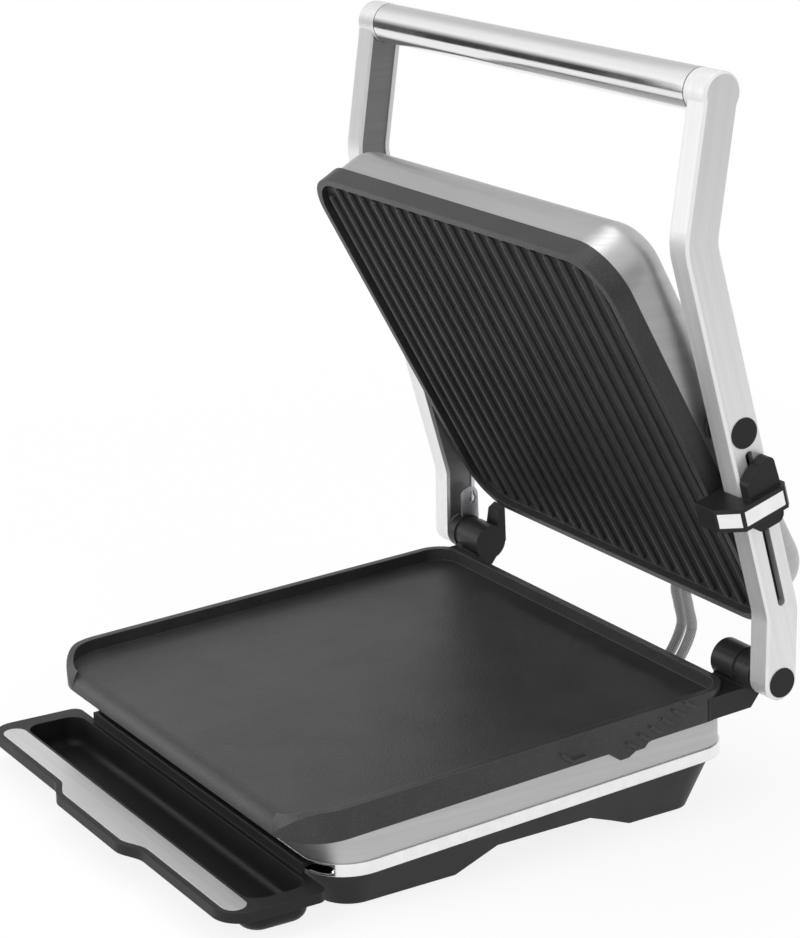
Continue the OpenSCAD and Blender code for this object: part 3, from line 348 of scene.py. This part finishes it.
# %% Group: pebbled grain
pebble_scale_at_1_mm = 600.0
blotch_scale = 34.0
least_depth, blotch_depth = 0.65, 0.7
grain, g_in, g_out = new_group(
    "pebbled_grain",
    [("Vector", "NodeSocketVector"), ("Size", "NodeSocketFloat")],
    [("Height", "NodeSocketFloat"), ("Blotch", "NodeSocketFloat")])
grain_scale = arithmetic(grain, "DIVIDE", pebble_scale_at_1_mm, g_in.outputs["Size"])
pebbles = place_node(grain, "ShaderNodeTexNoise", Vector=g_in.outputs["Vector"],
                     Scale=grain_scale, Detail=2.0, Roughness=0.6)
blotches = place_node(grain, "ShaderNodeTexNoise", Vector=g_in.outputs["Vector"],
                      Scale=blotch_scale, Detail=3.0, Roughness=0.55)
uneven = arithmetic(grain, "MULTIPLY_ADD", blotches.outputs[0], blotch_depth, least_depth)
feed(grain, g_out, "Height", arithmetic(grain, "MULTIPLY", pebbles.outputs[0], uneven))
feed(grain, g_out, "Blotch", blotches.outputs[0])
print("group:", grain.name)

# %% [markdown]
# ### Brushing
#
# A belt leaves thousands of fine parallel scratches. A noise that is squeezed hard across the
# brushing and left long along it looks the same. The caller turns and squeezes the coordinates
# with a Mapping node. A second, wider noise gives the soft light and dark streaks that the eye
# sees first.

# %% Group: brushed lines
scratch_scale, streak_scale = 1.0, 0.16
brushing, b_in, b_out = new_group(
    "brushed_lines", [("Vector", "NodeSocketVector")],
    [("Scratch", "NodeSocketFloat"), ("Streak", "NodeSocketFloat")])
scratch = place_node(brushing, "ShaderNodeTexNoise", Vector=b_in.outputs["Vector"],
                     Scale=scratch_scale, Detail=4.0, Roughness=0.72)
streak = place_node(brushing, "ShaderNodeTexNoise", Vector=b_in.outputs["Vector"],
                    Scale=streak_scale, Detail=2.0, Roughness=0.5)
feed(brushing, b_out, "Scratch", scratch.outputs[0])
feed(brushing, b_out, "Streak", streak.outputs[0])
print("group:", brushing.name)

# %% [markdown]
# ### Handling smears
#
# Wiped metal and coated plates never reflect quite evenly. A slow noise with a soft threshold
# gives cloudy patches from 0 to 1, and each material decides how much of it reaches roughness.

# %% Group: wiped smears
smear_scale = 14.0
smear_starts, smear_is_full = 0.36, 0.68
smears, s_in, s_out = new_group("wiped_smears", [("Vector", "NodeSocketVector")],
                                [("Cloud", "NodeSocketFloat")])
slow = place_node(smears, "ShaderNodeTexNoise", Vector=s_in.outputs["Vector"],
                  Scale=smear_scale, Detail=5.0, Roughness=0.6, Distortion=0.4)
soft_edge = place_node(smears, "ShaderNodeMapRange", {"interpolation_type": "SMOOTHSTEP"},
                       Value=slow.outputs[0], From_Min=smear_starts, From_Max=smear_is_full)
feed(smears, s_out, "Cloud", soft_edge.outputs[0])
print("group:", smears.name)


# %% [markdown]
# ### The start of every finish
#
# Each finish begins as a Principled shader with one colour, one roughness and one share of metal.
# A pattern needs coordinates. Generated ones stretch with the piece, so we read the object's own,
# which are in metres and stay with the piece when it moves.

# %% A blank finish
finishes = {}


def blank_finish(name, colour, rough, metal=0.0):
    """A new material with its shader and the object's own coordinates."""
    finish = bpy.data.materials.new(name)
    finish.use_nodes = True
    tree = finish.node_tree
    shader = tree.nodes["Principled BSDF"]
    shader.inputs["Base Color"].default_value = (*colour, 1.0)
    shader.inputs["Roughness"].default_value = rough
    shader.inputs["Metallic"].default_value = metal
    where = tree.nodes.new("ShaderNodeTexCoord").outputs["Object"]
    return finish, tree, shader, where


def use_group(tree, group, **inputs):
    """Puts a node group in a material."""
    return place_node(tree, "ShaderNodeGroup", {"node_tree": group}, **inputs)


# %% [markdown]
# ### From a pattern to a value
#
# The groups put out shares from 0 to 1. A Map Range node turns a share into a roughness, and a
# colour ramp turns it into a colour. Noise rarely reaches 0 or 1, so the middle part of its range
# is what we spread out. The Mix node has a set of numbered inputs for each kind of data, and the
# two mixing helpers keep those numbers in one place.

# %% Ranges and mixes
noise_start, noise_end = 0.3, 0.7


def between(tree, share, low, high, start=0.0, end=1.0):
    """Turns a share that runs from start to end into a value between low and high."""
    made = tree.nodes.new("ShaderNodeMapRange")
    for i, value in enumerate((share, start, end, low, high)):
        feed(tree, made, i, value)
    return made.outputs[0]


def between_colours(tree, share, low, high, start=0.0, end=1.0):
    """Blends two colours by a share that runs from start to end."""
    ramp = tree.nodes.new("ShaderNodeValToRGB")
    ramp.color_ramp.elements[0].position = start
    ramp.color_ramp.elements[1].position = end
    ramp.color_ramp.elements[0].color = (*low, 1.0)
    ramp.color_ramp.elements[1].color = (*high, 1.0)
    feed(tree, ramp, "Fac", share)
    return ramp.outputs["Color"]


def mix_values(tree, share, low, high):
    """Mixes two values or links by a share."""
    mixed = tree.nodes.new("ShaderNodeMix")
    for socket, value in ((0, share), (2, low), (3, high)):
        feed(tree, mixed, socket, value)
    return mixed.outputs[0]


def mix_colours(tree, share, colour, other):
    """Mixes a linked colour with a plain one by a share."""
    mixed = place_node(tree, "ShaderNodeMix", {"data_type": "RGBA"})
    for socket, value in ((0, share), (6, colour), (7, (*other, 1.0))):
        feed(tree, mixed, socket, value)
    return mixed.outputs[2]


# %% [markdown]
# ### Edges that catch the light
#
# No real edge is perfectly sharp: casting, moulding and paint leave a radius of half a millimetre
# or more, and that thin round is what draws a bright line round a dark part. A Bevel modifier
# would change the CAD meshes, so we use the Bevel shader node instead. It only turns the normal
# near an edge, and the bump is laid on top of it. Where the turned normal and the plain one differ
# there is an edge, so the same node also finds where the dark colour is painted a little lighter,
# a painted highlight along every edge.

# %% Soft edges and painted edge highlights
edge_samples = 4
edge_radius = 0.0006
# The painted edge highlight is full below the first agreement of the two normals and gone above the
# second.
full_highlight_below, no_highlight_above = 0.80, 0.97


def raise_surface(tree, shader, height, depth, strength, edge=edge_radius):
    """Feeds a height into the shader's normal, depth in metres, and softens every sharp edge."""
    soft = place_node(tree, "ShaderNodeBevel", {"samples": edge_samples}, Radius=edge)
    bump = place_node(tree, "ShaderNodeBump", Height=height, Distance=depth, Strength=strength,
                      Normal=soft.outputs[0])
    feed(tree, shader, "Normal", bump.outputs[0])


def painted_edge_highlight(tree, colour, edge_highlight_colour, amount, edge):
    """Blends a colour towards a lighter one along every convex or concave edge, as a painted
    highlight.
    """
    soft = place_node(tree, "ShaderNodeBevel", {"samples": edge_samples}, Radius=edge)
    plain = tree.nodes.new("ShaderNodeNewGeometry").outputs["Normal"]
    alike = place_node(tree, "ShaderNodeVectorMath", {"operation": "DOT_PRODUCT"})
    feed(tree, alike, 0, soft.outputs[0])
    feed(tree, alike, 1, plain)
    share = between(tree, alike.outputs["Value"], amount, 0.0, full_highlight_below, no_highlight_above)
    return mix_colours(tree, share, colour, edge_highlight_colour)


# %% [markdown]
# ## Black finishes
#
# Several blacks sit side by side here, and they only look real if they differ. The first is the
# sprayed non-stick coat of the two cooking plates: fine-grained, with a broad soft shine, tiny
# lighter flecks, and a painted highlight along its edges. One noise could do for grain and flecks,
# but flecks are separate dots, which a Voronoi texture gives.

# %% Non-stick coating
def coated_casting():
    """Black sprayed coating on a cast plate."""
    finish, tree, shader, where = blank_finish("nonstick_coating", (0.027, 0.027, 0.028), 0.42)
    shader.inputs["Specular IOR Level"].default_value = 0.34
    pebble = use_group(tree, grain, Vector=where, Size=0.8)
    flecks = place_node(tree, "ShaderNodeTexVoronoi", Vector=where, Scale=900.0)
    fleck = between(tree, flecks.outputs["Distance"], 1.0, 0.0, start=0.12, end=0.42)
    plain = between_colours(tree, pebble.outputs["Blotch"], (0.023, 0.023, 0.024),
                            (0.031, 0.031, 0.032), noise_start, noise_end)
    flecked = mix_colours(tree, arithmetic(tree, "MULTIPLY", fleck, 0.22), plain,
                          (0.11, 0.11, 0.115))
    # Every edge of the coat is painted lighter: a painted highlight.
    feed(tree, shader, "Base Color", painted_edge_highlight(
        tree, flecked, (0.11, 0.11, 0.112), amount=0.7, edge=0.0009))
    cloud = use_group(tree, smears, Vector=where)
    feed(tree, shader, "Roughness", between(tree, cloud.outputs[0], 0.40, 0.45))
    raise_surface(tree, shader, pebble.outputs["Height"], depth=0.00024, strength=0.9, edge=0.0007)
    return finish


finishes["nonstick_casting"] = coated_casting()
print("finish:", finishes["nonstick_casting"].name)

# %% [markdown]
# ### Moulded plastic, painted casting and rubber
#
# The housing, tray and clip are moulded plastic with a fine mould texture. The hinge brackets are
# cast and painted, the pads and grommets are rubber, which hardly shines at all, and the
# thermostat is brown moulding. Each could be a material of its own, but they differ only in
# colour, roughness, size of grain and its depth, so one function makes all five.

# %% Plastic, paint and rubber
def moulded_plastic(name, colour, rough, size, depth):
    """A moulded or painted black: size is its grain in millimetres, and depth is in metres."""
    finish, tree, shader, where = blank_finish(name, colour, rough)
    shader.inputs["Specular IOR Level"].default_value = 0.2
    pebble = use_group(tree, grain, Vector=where, Size=size)
    lighter = tuple(1.35 * c for c in colour)
    mottled = between_colours(tree, pebble.outputs["Blotch"], colour, lighter, noise_start, 0.75)
    # Four times the colour, laid along every edge as a painted highlight.
    edge_highlight_colour = tuple(4.0 * c for c in colour)
    feed(tree, shader, "Base Color", painted_edge_highlight(
        tree, mottled, edge_highlight_colour, amount=0.6, edge=0.0007))
    feed(tree, shader, "Roughness", between(
        tree, pebble.outputs["Blotch"], rough - 0.05, rough + 0.07, noise_start, noise_end))
    raise_surface(tree, shader, pebble.outputs["Height"], depth, strength=0.5)
    return finish


for slot, name, colour, rough, size, depth in (
        ("black_housing", "housing_plastic", (0.012, 0.012, 0.013), 0.46, 0.5, 0.00008),
        ("black_polymer", "polymer", (0.013, 0.013, 0.014), 0.42, 0.4, 0.00006),
        ("black_bracket", "painted_casting", (0.017, 0.017, 0.018), 0.36, 0.8, 0.0001),
        ("foot_rubber", "rubber", (0.016, 0.016, 0.017), 0.72, 0.6, 0.0001),
        ("thermostat_body", "phenolic", (0.11, 0.10, 0.09), 0.5, 0.4, 0.00005)):
    finishes[slot] = moulded_plastic(name, colour, rough, size, depth)
    print("finish:", name)

# %% [markdown]
# ## Bright finishes
#
# Every bright part is metal, so its colour is the colour of its reflection, and the difference
# between the parts is roughness. The bands, the tray's strip and the sheet parts are brushed
# steel. An anisotropic shader would stretch the reflections, but it needs tangents on every mesh,
# and fine scratches in roughness and bump give the look without them. The bands are brushed
# level, so their pattern is squeezed in Z. The tray's strip is brushed from side to side.

# %% Brushed sheet
level_brushing = (14.0, 14.0, 1700.0)
crosswise_brushing = (14.0, 1700.0, 1700.0)


def brushed_sheet(name, colour, rough, squeeze, contrast=0.05):
    """Brushed steel. Squeeze is the mapping scale, large across the brushing."""
    finish, tree, shader, where = blank_finish(name, colour, rough, metal=1.0)
    across = place_node(tree, "ShaderNodeMapping", Vector=where, Scale=squeeze)
    lines = use_group(tree, brushing, Vector=across.outputs[0])
    cloud = use_group(tree, smears, Vector=where)
    darker = tuple(c * (1.0 - contrast) for c in colour)
    lighter = tuple(min(1.0, c * (1.0 + contrast)) for c in colour)
    feed(tree, shader, "Base Color", between_colours(
        tree, lines.outputs["Streak"], darker, lighter, noise_start, noise_end))
    scratched = between(tree, lines.outputs["Scratch"], rough - 0.06, rough + 0.08,
                        noise_start, noise_end)
    smeared = between(tree, cloud.outputs[0], 0.0, 0.025)
    feed(tree, shader, "Roughness", arithmetic(tree, "ADD", scratched, smeared))
    raise_surface(tree, shader, lines.outputs["Scratch"], depth=0.00004, strength=0.35)
    return finish


for slot, name, colour, rough, squeeze, contrast in (
        ("brushed_band", "brushed_band_steel", (0.48, 0.48, 0.485), 0.40, level_brushing, 0.05),
        ("tray_strip", "brushed_strip", (0.62, 0.62, 0.63), 0.36, crosswise_brushing, 0.05),
        ("arm_liner", "satin_liner", (0.24, 0.24, 0.245), 0.5, level_brushing, 0.05),
        ("zinc_steel", "plated_steel", (0.52, 0.52, 0.54), 0.3, level_brushing, 0.12),
        ("reflector_sheet", "bright_sheet", (0.74, 0.74, 0.75), 0.24, level_brushing, 0.05)):
    finishes[slot] = brushed_sheet(name, colour, rough, squeeze, contrast)
    print("finish:", name)

# %% [markdown]
# ### Cast arms
#
# The two arms are satin cast aluminium, brushed along their length. Each arm bends, and real
# brushing follows the bend. One straight pattern would run off the edge above it, so we lay two,
# one turned to the shank and one to the neck, and change over in 8 mm at the height of the bend.

# %% Cast arm
arm_lean_shank = math.radians(17.2)
arm_lean_neck = math.radians(-7.2)
arm_bend_height = 0.3428
bend_blend = 0.004
arm_brushing = (2400.0, 2400.0, 22.0)


def brushed_casting():
    """Satin cast aluminium, brushed along the shank below the bend and along the neck above."""
    finish, tree, shader, where = blank_finish("brushed_casting", (0.77, 0.77, 0.775), 0.38, 0.7)
    split = place_node(tree, "ShaderNodeSeparateXYZ", Vector=where)
    above = between(tree, split.outputs["Z"], 0.0, 1.0,
                    arm_bend_height - bend_blend, arm_bend_height + bend_blend)
    shank_and_neck = []
    for lean in (arm_lean_shank, arm_lean_neck):
        along = place_node(tree, "ShaderNodeMapping", Vector=where, Rotation=(-lean, 0.0, 0.0))
        across = place_node(tree, "ShaderNodeMapping", Vector=along.outputs[0],
                            Scale=arm_brushing)
        shank_and_neck.append(use_group(tree, brushing, Vector=across.outputs[0]))
    scratch_of_arm, streak_of_arm = (
        mix_values(tree, above, *(lines.outputs[label] for lines in shank_and_neck))
        for label in ("Scratch", "Streak"))
    pores = use_group(tree, grain, Vector=where, Size=0.9)
    cloud = use_group(tree, smears, Vector=where)
    feed(tree, shader, "Base Color", between_colours(
        tree, streak_of_arm, (0.74, 0.74, 0.745), (0.80, 0.80, 0.805), noise_start, noise_end))
    scratched = between(tree, scratch_of_arm, 0.32, 0.44, noise_start, noise_end)
    feed(tree, shader, "Roughness", arithmetic(
        tree, "ADD", scratched, between(tree, cloud.outputs[0], 0.0, 0.05)))
    height = arithmetic(tree, "ADD", scratch_of_arm,
                        arithmetic(tree, "MULTIPLY", pores.outputs["Height"], 0.6))
    raise_surface(tree, shader, height, depth=0.00005, strength=0.35)
    return finish


finishes["cast_arm"] = brushed_casting()
print("finish:", finishes["cast_arm"].name)

# %% [markdown]
# ### Polished steel
#
# The handle bar and the strip under the band are polished. A plain mirror looks like a drawing,
# so a trace of lengthwise polishing lines and a few smears break the reflection up.

# %% Polished steel
lengthwise_polish = (9.0, 900.0, 900.0)


def polished_steel():
    """Bright polished steel with a trace of lengthwise polishing lines."""
    finish, tree, shader, where = blank_finish("polished_steel", (0.84, 0.84, 0.85), 0.14, 1.0)
    across = place_node(tree, "ShaderNodeMapping", Vector=where, Scale=lengthwise_polish)
    lines = use_group(tree, brushing, Vector=across.outputs[0])
    cloud = use_group(tree, smears, Vector=where)
    feed(tree, shader, "Base Color", between_colours(
        tree, lines.outputs["Streak"], (0.81, 0.81, 0.82), (0.87, 0.87, 0.88),
        noise_start, noise_end))
    fine = between(tree, lines.outputs["Scratch"], 0.10, 0.18, noise_start, noise_end)
    feed(tree, shader, "Roughness", arithmetic(
        tree, "ADD", fine, between(tree, cloud.outputs[0], 0.0, 0.06)))
    raise_surface(tree, shader, lines.outputs["Scratch"], depth=0.00002, strength=0.12)
    return finish


finishes["polished_trim"] = polished_steel()
print("finish:", finishes["polished_trim"].name)

# %% [markdown]
# ### Braid
#
# The sleeve is woven from bundles of fine wire that cross at an angle. On the UV map two sets of
# slanted waves cross, and the greater of the two at each point is the bundle on top. The waves
# repeat a whole number of times round the tube, so there is no seam.

# %% Braided sleeve
bundles_round = 12.0
braid_slant = 1.05
wave_low, wave_high = -0.4, 1.0


def braided_sleeve():
    """Two slanted wave patterns on the tube's own UV map."""
    finish, tree, shader, _ = blank_finish("braided_sleeve", (0.40, 0.40, 0.41), 0.38, 0.85)
    unrolled = place_node(tree, "ShaderNodeUVMap", {"uv_map": "braid"}).outputs[0]
    split = place_node(tree, "ShaderNodeSeparateXYZ", Vector=unrolled)
    bundles = bundles_round / loom_radius
    waves = []
    for way in (1.0, -1.0):
        along = arithmetic(tree, "MULTIPLY", split.outputs["X"], way * bundles * braid_slant)
        round_it = arithmetic(tree, "MULTIPLY", split.outputs["Y"], bundles)
        waves.append(arithmetic(tree, "SINE", arithmetic(tree, "ADD", along, round_it)))
    woven = arithmetic(tree, "MAXIMUM", *waves)
    feed(tree, shader, "Base Color", between_colours(
        tree, between(tree, woven, 0.0, 1.0, wave_low, wave_high),
        (0.13, 0.13, 0.135), (0.50, 0.50, 0.51)))
    feed(tree, shader, "Roughness", between(tree, woven, 0.5, 0.3, wave_low, wave_high))
    raise_surface(tree, shader, woven, depth=0.00025, strength=0.8)
    return finish


finishes["braided_loom"] = braided_sleeve()
print("finish:", finishes["braided_loom"].name)

# %% [markdown]
# ### Heater sheath
#
# The heater tubes inside both halves have been hot, so their steel is dull and brownish in slow
# bands. Painted bands would look drawn, and the smears that we already have are slow enough.

# %% Heater sheath
def tinted_sheath():
    """Heater tube, dulled and tinted by heat in slow bands."""
    finish, tree, shader, where = blank_finish("tinted_sheath", (0.30, 0.28, 0.26), 0.42, 0.9)
    cloud = use_group(tree, smears, Vector=where)
    feed(tree, shader, "Base Color", between_colours(
        tree, cloud.outputs[0], (0.33, 0.32, 0.31), (0.22, 0.17, 0.15)))
    feed(tree, shader, "Roughness", between(tree, cloud.outputs[0], 0.36, 0.5))
    raise_surface(tree, shader, cloud.outputs[0], depth=0.00002, strength=0.2)
    return finish


finishes["heater_sheath"] = tinted_sheath()
print("finish:", finishes["heater_sheath"].name)

# %% [markdown]
# ## Hand out the finishes
#
# The record that comes with the model names a slot for each node. Setting a material on the mesh
# would do, but we put each finish in the node's own material slot, so the mesh isn't touched. The
# looms and the black rings of painted shadow at the bar's ends are our own pieces, so they get
# theirs by name.

# %% One finish for each slot
slot_of = {part["node"]: part["material_slot"] for part in frame["record"]["subparts"]}
for name, node in frame["nodes"].items():
    finish = finishes[slot_of[name]]
    if node.material_slots:
        for place in node.material_slots:
            place.material = finish
    else:
        node.data.materials.append(finish)
for piece, _, _ in looms:
    piece.data.materials.append(finishes["braided_loom"])
for shadow_ring in shadow_rings:
    # Black: each ring is a painted shadow, the shade in the joint's gap.
    shadow_ring.data.materials.append(finishes["black_polymer"])
print("finishes:", len(finishes), "on", len(frame["nodes"]), "nodes")

# %% [markdown]
# ## Table
#
# The grill stands on a plain white sheet. A sheet that is only lit turns grey far out, and one
# that only glows shows no shadow. So where the camera sees it, most of its colour is its own
# glow, and the rest is lit. The glow's share is 0.85 within 0.35 m of the grill's middle and 1
# beyond 1.1 m. The sheet stays white to the edge of the frame and keeps the shadow.

# %% White sheet
bm = bmesh.new()
bmesh.ops.create_grid(bm, x_segments=8, y_segments=8, size=6.0)
bmesh.ops.translate(bm, verts=bm.verts, vec=(0.0, 0.0, -0.0002))
sheet_mesh = bpy.data.meshes.new("white_sheet")
bm.to_mesh(sheet_mesh)
bm.free()
white_sheet = bpy.data.objects.new("white_sheet", sheet_mesh)
bpy.context.scene.collection.objects.link(white_sheet)
print("sheet:", len(sheet_mesh.polygons), "faces")

# %% Paper on the sheet
near_edge, far_edge = 0.35, 1.1
near_glow, far_glow = 0.85, 1.0


def seen_directly(tree):
    """1 for what the camera sees, straight or in a mirror or glass, and 0 for scattered light."""
    ray = tree.nodes.new("ShaderNodeLightPath").outputs
    return arithmetic(tree, "MAXIMUM", ray["Is Camera Ray"], arithmetic(
        tree, "MAXIMUM", ray["Is Glossy Ray"], ray["Is Transmission Ray"]))


paper = bpy.data.materials.new("white_paper")
paper.use_nodes = True
tree = paper.node_tree
lit = tree.nodes["Principled BSDF"]
lit.inputs["Base Color"].default_value = (0.92, 0.92, 0.92, 1.0)
lit.inputs["Roughness"].default_value = 0.9
lit.inputs["Specular IOR Level"].default_value = 0.2
glow = place_node(tree, "ShaderNodeEmission", Color=(1.0, 1.0, 1.0, 1.0), Strength=1.0)
outward = place_node(tree, "ShaderNodeVectorMath", {"operation": "LENGTH"},
                     Vector=tree.nodes.new("ShaderNodeTexCoord").outputs["Object"])
glow_share = between(tree, outward.outputs["Value"], near_glow, far_glow, near_edge, far_edge)
blend = place_node(tree, "ShaderNodeMixShader")
feed(tree, blend, 0, arithmetic(tree, "MULTIPLY", seen_directly(tree), glow_share))
feed(tree, blend, 1, lit.outputs[0])
feed(tree, blend, 2, glow.outputs[0])
tree.links.new(blend.outputs[0], tree.nodes["Material Output"].inputs["Surface"])
sheet_mesh.materials.append(paper)
print("glow", near_glow, "within", near_edge, "m,", far_glow, "beyond", far_edge, "m")

# %% [markdown]
# ## World
#
# An all-white room lights from every side, and at full strength it would wash the shapes out. A
# picture of a sky would bring its own reflections. So the world is plain: white where it is seen
# or mirrored, and about half as strong where it only lights.

# %% World
room_light = 0.52
world = bpy.data.worlds.new("white_room")
world.use_nodes = True
bpy.context.scene.world = world
tree = world.node_tree
sky = tree.nodes["Background"]
sky.inputs["Color"].default_value = (1.0, 1.0, 1.0, 1.0)
feed(tree, sky, "Strength", between(tree, seen_directly(tree), room_light, 1.0))
print("world lights at", room_light)


# %% [markdown]
# ### Cards for the bright metal
#
# In an all-white room polished steel looks like white paint. A studio stands black and grey cards
# beside the set, just outside the frame, so that a round bar gets its dark stripe and a flat side
# its tone. Ours are seen by reflections only, so they darken neither the table nor the grill's
# matt parts.

# %% Card maker
def reflection_card(name, spot, facing, size, tone, fade=None):
    """A card that only reflections see. It fades to white along an axis, from start to end."""
    bm = bmesh.new()
    bmesh.ops.create_grid(bm, x_segments=1, y_segments=1, size=0.5)
    bmesh.ops.scale(bm, verts=bm.verts, vec=(*size, 1.0))
    turned = Vector(facing).to_track_quat("Z", "Y").to_matrix().to_4x4()
    bmesh.ops.transform(bm, verts=bm.verts, matrix=Matrix.Translation(spot) @ turned)
    mesh = bpy.data.meshes.new(name)
    bm.to_mesh(mesh)
    bm.free()
    card = bpy.data.objects.new(name, mesh)
    bpy.context.scene.collection.objects.link(card)
    board = bpy.data.materials.new(name + "_board")
    board.use_nodes = True
    tree = board.node_tree
    tree.nodes.clear()
    even = place_node(tree, "ShaderNodeEmission", Color=(1.0, 1.0, 1.0, 1.0), Strength=tone)
    if fade:
        axis, start, end = fade
        where = tree.nodes.new("ShaderNodeTexCoord").outputs["Object"]
        split = place_node(tree, "ShaderNodeSeparateXYZ", Vector=where)
        feed(tree, even, "Strength", between(tree, split.outputs[axis], tone, 1.0, start, end))
    result = tree.nodes.new("ShaderNodeOutputMaterial")
    tree.links.new(even.outputs[0], result.inputs["Surface"])
    mesh.materials.append(board)
    card.visible_camera = card.visible_diffuse = card.visible_shadow = False
    card.visible_transmission = False


# %% [markdown]
# The first card is nearly black and gives the handle bar its stripe. It fades upwards, so that
# the stripe has one soft edge. The second tones the top of the bar, and the third the outer
# sides of the arms.

# %% Cards
reflection_card("stripe_card", spot=(-0.383, -0.162, 0.478), facing=(0.242, 0.970, 0.0),
                size=(0.386, 0.364), tone=0.02, fade=("Z", 0.435, 0.555))
reflection_card("back_card", spot=(-1.0, 0.4, 1.0), facing=(1.0, 0.0, 0.0),
                size=(1.3, 0.76), tone=0.62, fade=("Y", 0.25, -0.24))
reflection_card("side_card", spot=(1.5, 0.9, 0.35), facing=(-1.5, -0.8, -0.1),
                size=(2.4, 1.6), tone=0.42)


# %% [markdown]
# ## Lamps
#
# Six large soft lamps give the shapes their modelling, and the low one reaches the ribs, which
# face down. A single sun would be simpler, but its shadows are hard. Where bright metal mirrors a
# lamp it burns out to flat white, so only two of the six show in reflections: the left one and
# the one above the arms' crest.

# %% Lamp maker
grill_middle = (0.0, 0.05, 0.18)


def soft_lamp(name, spot, size, watts, aim=grill_middle, mirrored=False):
    """A large flat lamp at spot that faces aim. Bright metal mirrors it only where asked."""
    data = bpy.data.lights.new(name, "AREA")
    data.shape = "RECTANGLE"
    data.size, data.size_y = size
    data.energy = watts
    lamp = bpy.data.objects.new(name, data)
    lamp.location = spot
    lamp.rotation_euler = (Vector(aim) - Vector(spot)).to_track_quat("-Z", "Y").to_euler()
    lamp.visible_glossy = mirrored
    bpy.context.scene.collection.objects.link(lamp)


# %% Lamps
soft_lamp("front_lamp", spot=(0.3, -1.7, 1.5), size=(1.8, 1.2), watts=14.0)
soft_lamp("low_lamp", spot=(0.0, -1.6, 0.2), size=(1.4, 0.4), watts=9.0, aim=(0.0, 0.1, 0.28))
soft_lamp("left_lamp", spot=(-1.6, -1.35, 0.55), size=(1.2, 1.0), watts=5.5, mirrored=True)
soft_lamp("side_lamp", spot=(1.9, 0.3, 1.2), size=(1.2, 1.4), watts=9.0)
soft_lamp("top_lamp", spot=(-0.3, 0.5, 2.0), size=(1.8, 1.4), watts=7.0)
soft_lamp("crest_lamp", spot=(-0.15, -0.1, 2.0), size=(2.0, 0.7), watts=8.5,
          aim=(0.0, 0.0, 0.3), mirrored=True)
view = bpy.context.scene.view_settings
view.view_transform = "Standard"

# %% [markdown]
# ## The end
#
# Dressing must not change the size of the part, yet the dressed part is 0.02 mm taller, at the
# black rings of painted shadow. The last cell only brings the scene up to date.

# %% The end
bpy.context.view_layer.update()
